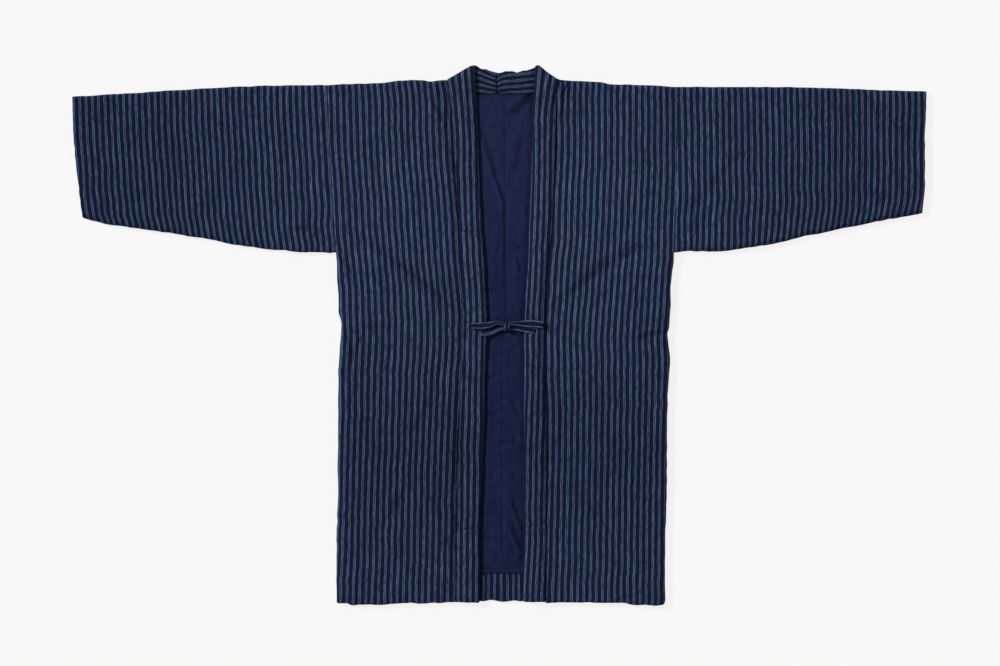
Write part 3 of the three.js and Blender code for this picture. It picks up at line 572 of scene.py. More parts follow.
def clothMaterial(name, colours, crinkleDepth, sheen):
    made = bpy.data.materials.new(name)
    made.use_nodes = True
    tree = made.node_tree
    tree.nodes.clear()
    paint = put(tree, "Group")
    paint.node_tree = colours
    form = put(tree, "Group")
    form.node_tree = weaveNodes
    values = {"Height": form.outputs["Height"], "Strength": 1.0, "Distance": crinkleDepth}
    normal = put(tree, "Bump", values).outputs[0]
    values = {"Height": form.outputs["Fine"], "Strength": 0.5, "Distance": threadDepth, "Normal": normal}
    normal = put(tree, "Bump", values).outputs[0]
    if "Band" in paint.outputs:
        values = {"Height": paint.outputs["Band"], "Strength": 0.5, "Distance": yarnDepth, "Normal": normal}
        normal = put(tree, "Bump", values).outputs[0]
    shader = put(tree, "BsdfPrincipled", {
        "Base Color": paint.outputs["Color"], "Roughness": 0.9, "Normal": normal, "Specular IOR Level": 0.03,
        "Sheen Weight": sheen, "Sheen Roughness": 0.45, "Sheen Tint": (0.55, 0.66, 0.9, 1.0),
    })
    out = put(tree, "OutputMaterial")
    tree.links.new(shader.outputs[0], out.inputs[0])
    return made


materials = {
    "striped_cotton": clothMaterial("stripedCotton", stripeNodes, crinkleDepth=0.0012, sheen=0.012),
    "lining_cotton": clothMaterial("liningCotton", dyeNodes, crinkleDepth=0.0008, sheen=0.012),
}
print("materials made")

# Where the pale bands fall, at heights up each front: the first band's middle and the
# step between bands, as shares of the width from the side to the collar's seam.
frontBands = {
    "left": table("y first step", [
        (-389.3, 0.036, 0.0528), (-334.8, 0.055, 0.0518), (-257, 0.052, 0.0521), (-179.1, 0.062, 0.052),
        (-101.2, 0.068, 0.0514), (-38.9, 0.062, 0.0511), (-26, 0.0635, 0.0508), (-14, 0.064, 0.0508),
        (5, 0.0566, 0.0511), (17, 0.0511, 0.0515), (36, 0.0668, 0.0508), (54.5, 0.0675, 0.0508),
        (73, 0.073, 0.0503), (116.8, 0.059, 0.0508), (194.7, 0.0515, 0.0514), (257, 0.0505, 0.0511),
        (313, 0.046, 0.0516), (358.2, 0.053, 0.052),
    ]),
    "right": table("y first step", [
        (-389.3, 0.0025, 0.0522), (-334.8, 0.0115, 0.0519), (-257, 0.0155, 0.0511),
        (-179.1, 0.028, 0.0506), (-101.2, 0.031, 0.0508), (-38.9, 0.026, 0.0507), (-28, 0.026, 0.0507),
        (-20, 0.0235, 0.0511), (-5, 0.025, 0.051), (5, 0.0275, 0.0506), (50, 0.0375, 0.0505),
        (70, 0.0415, 0.0506), (92, 0.0395, 0.0504), (116.8, 0.04, 0.0503), (194.7, 0.0295, 0.0509),
        (257, 0.0245, 0.0514), (319.3, 0.0225, 0.0511), (358.2, 0.02, 0.0509), (372, 0.0175, 0.0509),
        (386, 0.008, 0.0515), (397, -0.0075, 0.0518),
    ]),
}
frontCreases = {
    "left": [
        crease([(-240, 156), (-226, 150), (-199, 143), (-176, 132), (-156, 112), (-132, 93), (-109, 76),
                (-89, 53), (-61, 28)], 1.6, 9, 1, ridge=0.4),
        crease([(-226, 153), (-193, 132), (-153, 108), (-131, 92), (-106, 73), (-81, 51),
                (-66, 34)], 0.5, 4, 13, paintedShade=0.22),
        crease([(-251, 128), (-240, 112), (-230, 100), (-222, 86)], 0.9, 3, 14, paintedShade=0.3),
        crease([(-214, 108), (-190, 92), (-160, 62), (-134, 44)], 0.8, 7, 2),
        crease([(-248, 6), (-232, -9), (-226, -26), (-232, -45),
                (-241, -67)], 1.5, 5, 3, ridge=0.6, paintedShade=0.22),
        crease([(-247, 10), (-229, 9), (-192, 12), (-151, 11)], 0.9, 6, 4, paintedShade=0.12),
        crease([(-61, 3), (-92, -59), (-112, -112), (-139, -164)], 0.9, 8, 5),
        crease([(-134, -226), (-153, -257), (-181, -299)], 1.0, 8, 6),
        crease([(-99, 362), (-94, 346), (-84, 331), (-78, 318)], 1.5, 3, 7, ridge=0.6, paintedShade=0.4),
        crease([(-97, 392), (-94, 380), (-92, 368)], 0.8, 3, 15, ridge=0.3, paintedShade=0.35),
        crease([(-245, 369), (-238, 375), (-228, 379)], 1.2, 5, 8),
        crease([(-120, 386), (-128, 360), (-124, 332)], 0.7, 6, 9),
        crease([(-226, -120), (-204, -150), (-196, -196)], 0.7, 8, 10),
        crease([(-80, -230), (-88, -280), (-82, -330)], 0.6, 7, 11),
        crease([(-236, -330), (-214, -352), (-206, -396)], 0.7, 7, 12),
        crease([(-208, 4), (-214, -5), (-220, -18), (-222, -34)], 1.1, 2.6, 16, ridge=0.5, paintedShade=0.4),
        crease([(-241, 0), (-236, -4), (-233, -18)], 0.8, 2.2, 17, ridge=0.5, paintedShade=0.3),
    ],
    "right": [
        crease([(248, 140), (229, 135), (206, 129), (176, 114), (146, 93), (123, 75), (98, 53),
                (80, 34)], 1.7, 9, 21, ridge=0.4),
        crease([(214, 132), (188, 121), (157, 101), (132, 82), (110, 64),
                (92, 45)], 0.5, 4.5, 34, paintedShade=0.2),
        crease([(222, 92), (196, 82), (160, 56), (140, 40)], 0.8, 7, 22),
        crease([(262, 5), (250, 2), (235, 0), (209, -8)], 1.6, 4.5, 23, ridge=0.6, paintedShade=0.1),
        crease([(262, -18), (250, -10), (235, -6), (210, 3)], 1.1, 5, 24, paintedShade=0.05),
        crease([(126, -257), (151, -276), (178, -299)], 1.3, 7, 25),
        crease([(100, -98), (98, -132), (100, -167)], 1.1, 4, 26, ridge=0.6),
        crease([(110, 397), (107, 390), (103, 384), (100.5, 379), (99.5, 373), (100, 364), (98, 350),
                (95, 338)], 2.0, 2, 27, ridge=0.6, paintedShade=0.6),
        crease([(112, 394), (111.5, 386), (110.5, 379), (108, 372),
                (106, 366)], 1.2, 1.7, 33, ridge=0.3, paintedShade=0.55),
        crease([(188, 369), (199, 364), (214, 363)], 1.1, 5, 28),
        crease([(122, 380), (128, 350), (120, 316)], 0.7, 6, 29),
        crease([(238, -130), (214, -160), (208, -210)], 0.7, 8, 30),
        crease([(90, -250), (98, -300), (92, -352)], 0.6, 7, 31),
        crease([(242, -336), (222, -362), (216, -402)], 0.7, 7, 32),
        crease([(262, -4), (259, -14), (261, -28)], 0.8, 2.2, 35, paintedShade=0.35),
    ],
}


# Painted light and shade: lighter over the chest and shoulders, darker at the cuffs and in
# the skirt.
def paintedLightAndShade(x, y):
    across = np.abs(x - 3)
    chest = 0.17 * bump(y - 190, 190) * bump(across - 165, 170)
    skirt = 0.15 * bump(y + 185, 110) * smooth(260, 225, across)
    cuff = 0.13 * smooth(380, 600, -x) + 0.05 * smooth(330, 520, x)
    return chest - skirt - cuff


# Between seams the wadding rises: 2.2 * sin(pi t)^0.6, less towards the hem and shoulder.
def wadding(x, y, which):
    outer, inner = side(which, y), bandSeam(which, y)
    t = np.clip((x - outer) / (inner - outer), 0.001, 0.999)
    return 2.2 * np.sin(np.pi * t) ** 0.6 * smooth(398, 330, y) ** 0.5 * smooth(-423, -370, y) ** 0.5


# Small forms all over: soft lumps of wadding and washed-in crinkles along the stripes.
def crinkles(x, y, seed):
    lumps = 0.55 * uneven(x, y, 30, 52, seed) + 0.3 * uneven(x, y, 15, 30, seed + 1)
    return lumps + 0.22 * uneven(x, y, 7.5, 15, seed + 2) + 0.12 * uneven(x + 0.3 * y, y, 5, 9, seed + 3)


# Puckers along a seam: short dents beside it, deepest at the seam.
def puckers(place, away, depth, reach, seed):
    dents = 0.5 + 0.5 * ripple(place, 6.5, seed) + 0.35 * ripple(place, 15, seed + 1)
    return -depth * bump(away, reach) * dents


# The seam between the right front and the collar is drawn in beside the bow.
def drawnIn(which, y, seamAway):
    return (which == "right") * 0.9 * bump(seamAway, 5) * smooth(-330, -60, y) * smooth(250, 110, y)


# The seam between a front and the collar is a dark line that wavers, less so beside the bow.
def seamShade(which, x, y):
    strong = 0.58 if which == "left" else 0.25
    strong = strong * (1 - smooth(-150, -100, y) * smooth(210, 150, y))
    away = x - bandSeam(which, y) - 0.9 * ripple(y, 14, 115)
    return strong * (1 + 0.3 * ripple(y, 7, 113)) * bump(away, 2)


def addFront(which):
    sign = toward[which]
    piece = {
        "nodes": [f"front_{which}"], "slot": "striped_cotton", "cut": (0.2, 0.83), "held": "laid",
        "restsOn": [f"lining_{which}"], "firstBand": {"left": 20, "right": 71}[which],
        "size": (186, 812), "spacing": (2.2, 2.4), "corner": 1.8,
        "seamPuckers": (0.8, 6), "hemPuckers": (1.2, 9), "sidePuckers": (0.7, 9),
    }
    inner = lambda y: bandSeam(which, y) + sign * 0.15
    west, east = westToEast(which, lambda y: notchedSide(which, y), inner)
    hem = lambda x: along(frontHem, "x", "y", x) - 0.6 + 0.8 * ripple(x, 11, 71) + 0.4 * ripple(x, 23, 72)
    columns = shares(piece["size"][0], piece["spacing"][0], [0, 0.25, 0.7, 1.4, 2.4, 3.8, 5.6, 7.8])
    rows = shares(piece["size"][1], piece["spacing"][1], [0, 0.3, 0.9, 1.8, 3.0, 4.6, 6.6, 9.2])
    x, y = between(west, east, hem, shoulder, columns, rows)
    x, y = roundHem(which, x, y, frontHem, -415.0, piece["corner"])
    seamAway, sideAway = np.abs(x - bandSeam(which, y)), np.abs(x - side(which, y))
    folds = creases(x, y, frontCreases[which])
    over = frontTop + wadding(x, y, which) + folds
    over += crinkles(x, y, 100 + sign) * smooth(0, 12, np.minimum(seamAway, sideAway))
    over += puckers(y, seamAway, *piece["seamPuckers"], 111 + sign)
    over += puckers(x, np.abs(y - hem(x)), *piece["hemPuckers"], 121 + sign)
    over += puckers(y, sideAway, *piece["sidePuckers"], 131 + sign) - 0.9 * bump(seamAway, 7)
    over -= drawnIn(which, y, seamAway)
    sideRim = lambda x, y: np.where(y > armpit, 11.3, foldHeight + 0.05)
    under = foldHeight + 0.1 + (frontUnder - foldHeight - 0.1) * smooth(2, 10, sideAway)
    sideTurn = lambda x, y: 6.0 + (1.2 - 6.0) * smooth(armpit - 4, armpit + 6, y)
    rims = westToEast(which, sideRim, seamHeight) + [frontUnder + 2.4, foldHeight + 0.05]
    turns = westToEast(which, sideTurn, 2.4) + [5.0, 6.5]
    made = slab(x, y, over, under, rims, turns, [1.0, 1.0, 1.2, 2.0])
    # No point of it is lower than the back's upper face.
    made[0][:, 2] = np.maximum(made[0][:, 2], wall)
    t = (x - side(which, y)) / (bandSeam(which, y) - side(which, y))
    if which == "right":
        t = 1 - t
    first, step = (along(frontBands[which], "y", k, y) for k in ("first", "step"))
    phase = (t - first) / step + 0.02 * folds + piece["firstBand"]
    # Painted light and shade over the coat, painted shade in the troughs and along the lines of the creases,
    # and painted shade beside the collar's seam and on it.
    tone = paintedLightAndShade(x, y) + 0.09 * np.minimum(folds, 0) + paintedCreaseShade(x, y, frontCreases[which])
    tone -= 0.16 * bump(seamAway, 8) + seamShade(which, x, y)
    addSlab(piece, made, phase, y, tone, outerRim[which], sign)


# The top edge of the back: along the shoulder fold, and round the neck below the collar.
neckSeam = table("x y", [
    (x, y) for which in ("left", "right")
    for x, y in list(zip(neckEdges[which]["seamX"], neckEdges[which]["seamY"]))[which == "right":]
])


def backTopEdge(x):
    atNeck = (x > neckSeam["x"][0]) & (x < neckSeam["x"][-1])
    return np.where(atNeck, np.interp(x, neckSeam["x"], neckSeam["y"]) - 0.1, shoulder(x))


def addBack(which):
    sign = toward[which]
    piece = {
        "nodes": [f"back_{which}"], "slot": "striped_cotton", "cut": (0.27, 0.83), "held": "laid",
        "firstBand": {"left": 100, "right": 160}[which],
        "size": (256, 800), "spacing": (5.0, 6.5), "corner": 3.2,
    }
    inner = lambda y: centreSeam - 1.5 + sign * 0.02 + 0 * y
    west, east = westToEast(which, lambda y: notchedSide(which, y), inner)
    hem = lambda x: along(backHem, "x", "y", x) - 1.6 + 0.7 * ripple(x, 9, 73)
    insets = [0, 0.4, 1.2, 2.6, 4.6, 7.4]
    columns, rows = (shares(size, step, insets) for size, step in zip(piece["size"], piece["spacing"]))
    x, y = between(west, east, hem, backTopEdge, columns, rows)
    x, y = roundHem(which, x, y, backHem, -412.0, piece["corner"])
    sideAway = np.abs(x - side(which, y))
    over = foldHeight - 0.1 + (wall - foldHeight + 0.1) * smooth(2, 9, sideAway)
    sideRim = lambda x, y: np.where(y > armpit, 2.5, foldHeight - 0.05)
    neckRim = lambda x, y: np.where((x > -82) & (x < 95), 2.5, foldHeight - 0.05)
    rims = westToEast(which, sideRim, 1.8) + [2.2, neckRim]
    made = slab(x, y, over, 0 * x, rims, [1.0] * 4, westToEast(which, 5.0, 2.0) + [4.0, 5.0])
    phase = (x - centreSeam) / backPitch + 0.5 + piece["firstBand"]
    # Painted light and shade over the coat colours the back too.
    addSlab(piece, made, phase, y, paintedLightAndShade(x, y), outerRim[which], sign)


# The seam between the lining's halves wanders.
liningSeam = table("y x", [
    (-371, 5.2), (-270, 5), (-150, 5.1), (-31, 4.8), (0, 7), (20, 9), (55, 10.6), (130, 9.6), (300, 8.4),
    (376, 8.4)])
liningCreases = [
    crease([(-32, 330), (-25, 312), (-18, 295), (-10, 271), (-3, 246)], 0.9, 5, 41, ridge=0.7),
    crease([(-12, 276), (-7, 256), (-1, 238), (5, 219), (9.3, 202), (9.5, 186)], 1.1, 3.2, 56, ridge=0.8),
    crease([(19, 147), (27, 138), (36, 133)], 0.9, 3, 57),
    crease([(27, 124), (32, 108), (36, 90)], 1.0, 3, 58),
    crease([(-26, 78), (-14, 70), (2, 74)], 0.8, 3, 59),
    crease([(-20, 10), (-10, 3), (0, 6)], 0.7, 3, 60),
    crease([(16, -96), (24, -110), (32, -132)], 1.0, 4, 69),
    crease([(9, 205), (9.6, 160), (8.6, 117), (9, 60)], 0.6, 2.6, 53, ridge=0.5),
    crease([(64, 398), (48, 376), (37, 362), (28, 351), (18, 341)], 2.2, 6.5, 42, ridge=0.5),
    crease([(2, 366), (12, 352), (16, 338)], 0.6, 4, 54),
    crease([(2, 175), (6, 130), (4, 85), (0, 50)], 0.5, 9, 92, ridge=0.1),
    crease([(20, -225), (24, -270), (22, -320), (20, -372)], 0.6, 9, 93, ridge=0.1),
    crease([(18, -120), (20, -150), (18, -182)], 0.4, 8, 94, ridge=0.1),
    crease([(-16, -107), (-5, -109), (4, -106)], 0.9, 2.4, 90),
    crease([(-8, -163), (8, -168), (24, -165), (33, -170)], 0.9, 2.6, 91),
    crease([(39, 318), (30, 280), (19, 243)], 0.8, 5, 43),
    crease([(21, -258), (27, -272), (31, -285), (35, -295), (39, -305)], 1.2, 3.4, 45, ridge=0.8),
    crease([(16, -288), (21, -298), (26, -310), (30, -321), (36, -331),
            (40, -344)], 1.3, 3.8, 46, ridge=0.8),
    crease([(36, -290), (38, -320), (37, -352), (34, -366)], 1.6, 6, 52, ridge=0.2),
    crease([(-26, -60), (-14, -66), (2, -60)], 0.6, 4, 47),
    crease([(-26, -128), (-12, -122), (4, -130)], 0.6, 4, 48),
    crease([(-27, -306), (-16, -318), (2, -322), (14, -316)], 0.7, 5, 49),
    crease([(-32, 340), (-12, 352), (8, 350)], 0.5, 6, 50),
    crease([(10, -180), (22, -196), (34, -198)], 0.5, 5, 51),
]


def liningFolds(x, y):
    return 1.2 * creases(x, y, liningCreases)


# Between the fronts the lining is free and stands up a little.
def liningLift(x, y):
    inside = np.minimum(x - bandFold("left", y), bandFold("right", y) - x)
    free = smooth(0, 9, inside) * smooth(neckline - 3, neckline - 26, y)
    free = free * smooth(hemTurnTop + 2, hemTurnTop + 20, y)
    seam = 0.45 * bump(x - along(liningSeam, "y", "x", y), 2)
    forms = liningFolds(x, y) + 0.5 * uneven(x, y, 16, 30, 55)
    forms += 0.45 * uneven(x, y, 7, 9, 56) + 0.5 * uneven(x, y, 10, 5.2, 57)
    return np.maximum(0, (1.7 + forms - seam) * free)


def addLining(which):
    sign = toward[which]
    piece = {
        "nodes": [f"lining_{which}"], "slot": "lining_cotton", "cut": (0.25, 0.765), "held": "laid",
        "restsOn": [f"back_{which}_cloth"], "inset": 14,
    }
    # u goes from 0 at the side over 1 at the collar's fold to 2 at the centre seam.
    hidden = np.array([0, 0.6, 1.5, 20, 50, 90, 130, 160, 176, 184, 189]) / 194
    free = np.linspace(1, 2, 26)
    u = np.concatenate([hidden, free[:-1], 2 - np.array([0.3, 0.12, 0]) / 30])
    u, v = np.meshgrid(u, shares(745, 2.4, [0, 0.3, 0.8, 1.6]))
    x = np.where(u < 1, 200.0 * sign, 0.0)
    for _ in range(6):
        top = np.minimum(backTopEdge(x) + 0.2, along(topEdge, "x", "y", x) - piece["inset"])
        y = hemTurnTop + 0.2 + (top - hemTurnTop - 0.2) * v
        outer, fold = side(which, y) - sign * piece["inset"], bandFold(which, y)
        inner = along(liningSeam, "y", "x", y) + sign * 0.02
        x = np.where(u < 1, outer + (fold - outer) * u, fold + (inner - fold) * (u - 1))
    if which == "right":
        x, y = x[:, ::-1], y[:, ::-1]
    lift = liningLift(x, y)
    rim = lambda x, y: liningUnder + 0.5 + liningLift(x, y)
    seamRim = lambda x, y: liningUnder + 0.95 + liningLift(x, y)
    rims = westToEast(which, rim, seamRim) + [rim, rim]
    made = slab(x, y, liningTop + lift, liningUnder + lift, rims, [1.4] * 4, [0.8] * 4)
    # Painted shade in the troughs of the creases and painted light on their banks, and a darker line along
    # the seam.
    tone = 0.2 * np.clip(liningFolds(x, y), -2, 0.5) - 0.1 * bump(x - along(liningSeam, "y", "x", y), 1.3)
    # It lies in the shade below the neck's seam and under the crease at its right end.
    tone -= 0.3 * smooth(neckline - 4, neckline - 1, y) + 0.3 * bump(x - 50, 12) * bump(y - 366, 13)
    addSlab(piece, made, x / backPitch, y, tone)


def addHemTurn():
    piece = {
        "nodes": ["hem_turn"], "slot": "striped_cotton", "cut": (0.48, 0.043), "held": "folded",
        "restsOn": ["back_left_cloth", "back_right_cloth"], "firstBand": 220,
    }
    # The middles of its pale bands, where it shows between the fronts.
    middles = table("x number", [
        (-220.8, -20), (-24.6, 0), (-16.6, 1), (-7, 2), (3.5, 3), (13.3, 4), (22.3, 5), (30.1, 6),
        (226.1, 26)])
    # Its columns stand closest where it shows.
    columns = [np.linspace(0, 0.38, 16), np.linspace(0.38, 0.66, 56), np.linspace(0.66, 1, 14)]
    west, east = (lambda y, which=which: side(which, y) - 16 * toward[which] for which in ("left", "right"))
    low = lambda x: along(backHem, "x", "y", x) - 0.6
    high = lambda x: hemTurnTop + 0.4 * ripple(x, 9, 75)
    rows = shares(41, 1.8, [0, 0.4, 1.0])
    x, y = between(west, east, low, high, np.unique(np.concatenate(columns)), rows)
    free = smooth(-26, -20, x) * smooth(34, 28, x)
    form = 0.35 * uneven(x, y, 7, 14, 76) + puckers(x, np.abs(y - hemTurnTop), 0.3, 4, 77)
    lift = np.maximum(0, (0.5 + form) * free - 0.6 * bump(x - 5, 2) * free)
    rims = [liningUnder + 0.6] * 4
    made = slab(x, y, liningUnder + 1.3 + lift, liningUnder + 0 * x, rims, [1.2] * 4, [0.8] * 4)
    phase = np.interp(x, middles["x"], middles["number"]) + piece["firstBand"]
    # It is a little darker all over, with painted shadow of the lining's edge along its top.
    addSlab(piece, made, phase, y, -0.14 - 0.4 * smooth(hemTurnTop - 3.5, hemTurnTop - 0.5, y))


# Where the pale bands fall on the collar: their distance from the inner fold, over
# the band's width there, for the first band, and the step between them.
bandStripes = {
    "left_upper": table("y first step", [
        (165, 0.3, 0.255), (241, 0.24, 0.255), (303, 0.2, 0.245), (374, 0.205, 0.24)]),
    "left_lower": table("y first step", [
        (-300, 0.168, 0.245), (-226, 0.17, 0.25), (-163, 0.235, 0.245), (-101, 0.24, 0.245),
        (-55, 0.28, 0.265), (-15, 0.34, 0.295), (31, 0.33, 0.285), (70, 0.3, 0.265), (117, 0.31, 0.27),
        (160, 0.3, 0.275)]),
    "left_end": table("y first step", [(-397, 0.15, 0.25), (-350, 0.15, 0.25), (-311, 0.165, 0.25)]),
    "right_upper": table("y first step", [
        (-50, 0.01, 0.275), (-16, 0.015, 0.285), (31, -0.02, 0.29), (70, 0.01, 0.29), (117, -0.025, 0.285),
        (154, -0.035, 0.26), (195, -0.015, 0.255), (241, -0.055, 0.245), (288, -0.075, 0.245),
        (335, -0.13, 0.26), (374, -0.13, 0.29)]),
    "right_lower": table("y first step", [
        (-280, 0.09, 0.26), (-226, 0.135, 0.25), (-163, 0.16, 0.265), (-101, 0.235, 0.27),
        (-58, 0.27, 0.27)]),
    "right_end": table("y first step", [(-397, 0.05, 0.26), (-350, 0.06, 0.27), (-311, 0.11, 0.26)]),
}
# The number of each part's first pale band, which picks its tints, and its cut's length.
bandParts = {
    "left_end": (340, 0.12), "left_lower": (320, 0.465), "left_upper": (303, 0.262),
    "right_end": (400, 0.124), "right_lower": (384, 0.248), "right_upper": (376, 0.472),
}
bandCreases = [
    crease([(-63, -122), (-54, -130), (-46, -128)], 0.9, 3, 61, ridge=0.6),
    crease([(-44, -198), (-34, -200), (-26, -196)], 0.8, 3, 62, ridge=0.6),
    crease([(-58, 46), (-46, 30), (-40, 10)], 0.8, 4, 63),
    crease([(-60, -20), (-50, -4), (-46, 12)], 0.7, 4, 64),
    crease([(44, 40), (52, 26), (60, 20)], 0.8, 4, 65),
    crease([(52, -14), (60, -34), (66, -44)], 0.7, 4, 66),
    crease([(62, 352), (70, 372), (80, 386)], 0.8, 4, 67),
    crease([(-70, 366), (-62, 384), (-52, 398)], 0.8, 4, 68),
]


bandMiddle = {"left": -45, "right": 56}
bandWidth, bandFoot = 37, -416.0


# A join's line across its band, slanted and a little uneven.
def joinAt(which, height, x):
    outwards = toward[which] * (x - bandMiddle[which])
    return height + joins[which][height] * outwards + 0.9 * ripple(x, 8, 78)


# A part of a long band between two joins, or from None at the hem or to None at the peak.
def addBand(which, part, low, high):
    sign = toward[which]
    firstBand, cutLength = bandParts[f"{which}_{part}"]
    piece = {
        "nodes": [f"collar_{which}_{part}"], "slot": "striped_cotton", "cut": (0.04, cutLength),
        "held": "folded", "restsOn": [f"lining_{which}_cloth"], "firstBand": firstBand,
        "joinShade": {"left": 0.16, "right": 0.1}[which], "joinDepth": 0.45,
    }
    seam, fold = (lambda y: bandSeam(which, y)), (lambda y: bandFold(which, y))
    west, east = westToEast(which, seam, fold)
    if low is None:
        south = lambda x: along(frontHem, "x", "y", x) + 0.5 * ripple(x, 9, 74)
    else:
        south = lambda x: joinAt(which, low, x) + 0.03
    if high is None:
        north = lambda x: along(collarPeak[which], "x", "y", x)
    else:
        north = lambda x: joinAt(which, high, x) - 0.03
    columns = shares(bandWidth, 1.9, [0, 0.2, 0.6, 1.3, 2.3, 3.6])
    rows = shares((high or topEnd) - (low or bandFoot), 2.6, [0, 0.2, 0.6, 1.2, 2.2, 3.6])
    x, y = between(west, east, south, north, columns, rows)
    if low is None:
        cornerX = fold(np.array(bandFoot))
        x, y = roundCorner(x, y, float(cornerX), float(south(cornerX)), -sign, -1, 4.0)
    t = np.clip((x - seam(y)) / (fold(y) - seam(y)), 0, 1)
    seamAway = np.abs(x - seam(y))
    over = collarTop - 1.0 * (1 - smooth(0, 0.25, t)) + 0.7 * np.sin(np.pi * t)
    folds = creases(x, y, bandCreases)
    over += folds + 0.3 * uneven(x, y, 10, 26, 81 + sign) + 0.16 * uneven(x, y, 5, 11, 83 + sign)
    over += puckers(y, seamAway, 0.6, 5, 85 + sign) + puckers(y, bandWidth - seamAway, 0.5, 4, 87 + sign)
    fromJoins = [y - joinAt(which, end, x) for end in (low, high) if end is not None]
    over -= piece["joinDepth"] * sum(bump(away, 2.5) for away in fromJoins) + drawnIn(which, y, seamAway)
    joinShade = piece["joinShade"] * sum(bump(away, 2) for away in fromJoins)
    joinRim, joinTurn = 12.6, 0.9
    rims = westToEast(which, seamHeight, frontUnder + 3.2)
    rims += [frontUnder + 3 if low is None else joinRim, frontUnder + 0.4 if high is None else joinRim]
    turns = westToEast(which, 2.4, 4.2)
    turns += [4.0 if low is None else joinTurn, 5.0 if high is None else joinTurn]
    made = slab(x, y, over, frontUnder + 0 * x, rims, turns, westToEast(which, 0.8, 2.6) + [1.5, 1.0])
    stripes = bandStripes[f"{which}_{part}"]
    first, step = (along(stripes, "y", k, y) for k in ("first", "step"))
    phase = (1 - t - first) / step + piece["firstBand"]
    # Painted light and shade over the coat, painted shade in the troughs of the creases and beside the seam,
    # and painted shade on the seam line and at the joins.
    tone = paintedLightAndShade(x, y) + 0.12 * np.minimum(folds, 0) - 0.2 * bump(seamAway, 5)
    tone -= seamShade(which, x, y) + joinShade * (1 + 0.6 * ripple(x, 5, 79))
    addSlab(piece, made, phase, y, tone, innerRim[which], -1)


# The pale bands along the neck: how high the topmost one's middle is and the step between
# bands, from the join at the centre outwards.
neckBands = {
    "left": table("away top pitch", [
        (0, 397.4, 7.2), (9, 401, 7.9), (20, 405.6, 8.7), (33, 410.6, 9.8), (60, 416, 10)]),
    "right": table("away top pitch", [
        (0, 398.4, 7.8), (5, 401.6, 8.5), (11, 403.8, 8.9), (30, 406, 9.3), (55, 409, 9.7),
        (90, 411, 9.8)]),
}


def addNeck(which):
    sign = toward[which]
    piece = {
        "nodes": [f"collar_neck_{which}"], "slot": "striped_cotton", "held": "folded",
        "cut": (0.036, {"left": 0.075, "right": 0.09}[which]),
        "firstBand": {"left": 436, "right": 450}[which],
    }
    edges = neckEdges[which]
    neckWidth = 34
    columns = shares(75, 1.8, [0, 0.2, 0.6, 1.3, 2.6])
    rows = shares(neckWidth, 1.4, [0, 0.2, 0.6, 1.3, 2.3, 3.6])
    u, v = np.meshgrid(columns, rows)
    place = u * (len(edges["seamX"]) - 1)
    at = lambda name: np.interp(place, np.arange(len(edges[name])), edges[name])
    x = at("seamX") + (at("foldX") - at("seamX")) * v + 0.002 * sign
    y = at("seamY") + 0.1 + (at("foldY") + 0.7 * ripple(x, 8, 91) * v**3 - at("seamY")) * v
    fromCentre = np.abs(x - collarCentre)
    over = 6.6 + 0.5 * np.sin(np.pi * v) + 0.35 * uneven(x, y, 12, 7, 92) + 0.18 * uneven(x, y, 6, 4, 93)
    over -= 1.3 * bump(fromCentre, 2.2) + 0.9 * bump(v - 0.6, 0.1) * bump(fromCentre, 16)
    rims, turns = westToEast(which, 3.0, 4.0) + [4.4, 3.2], westToEast(which, 2.0, 1.2) + [1.8, 3.8]
    made = slab(x, y, over, 0 * x, rims, turns, westToEast(which, 3.0, 1.2) + [3.0, 3.2])
    top, pitch = (along(neckBands[which], "away", k, fromCentre) for k in ("top", "pitch"))
    # It is a little darker all over, and painted shade darkens it at its join, above the seam and beside the
    # long bands.
    tone = -0.08 - 0.25 * bump(fromCentre, 2) - 0.4 * smooth(2.2, 0.4, v * neckWidth)
    tone -= 0.25 * bump(x - 54, 7) + 0.2 * bump(x + 37, 4)
    addSlab(piece, made, (y - top) / pitch + piece["firstBand"], x, tone, northRim, 1)


# The pale bands on each sleeve: where the first one is and the distance between them.
sleeveBands = {
    "left": table("y first pitch", [
        (140.2, -636.1, 9.7), (171.3, -637.1, 9.63), (186.9, -642.3, 9.79), (202.5, -644.5, 9.85),
        (225.8, -646.8, 9.86), (257, -648.2, 9.86), (288.1, -650.8, 9.89), (319.3, -653, 9.88),
        (366, -654, 9.84), (384.7, -654.7, 9.84),
    ]),
    "right": table("y first pitch", [
        (132.4, 284.1, 9.53), (179.1, 283.9, 9.53), (194.7, 285.2, 9.54), (218, 286.4, 9.6),
        (241.4, 286.1, 9.62), (288.1, 285.6, 9.64), (334.8, 284.7, 9.68), (366, 283.8, 9.7),
        (384.7, 283.4, 9.7),
    ]),
}
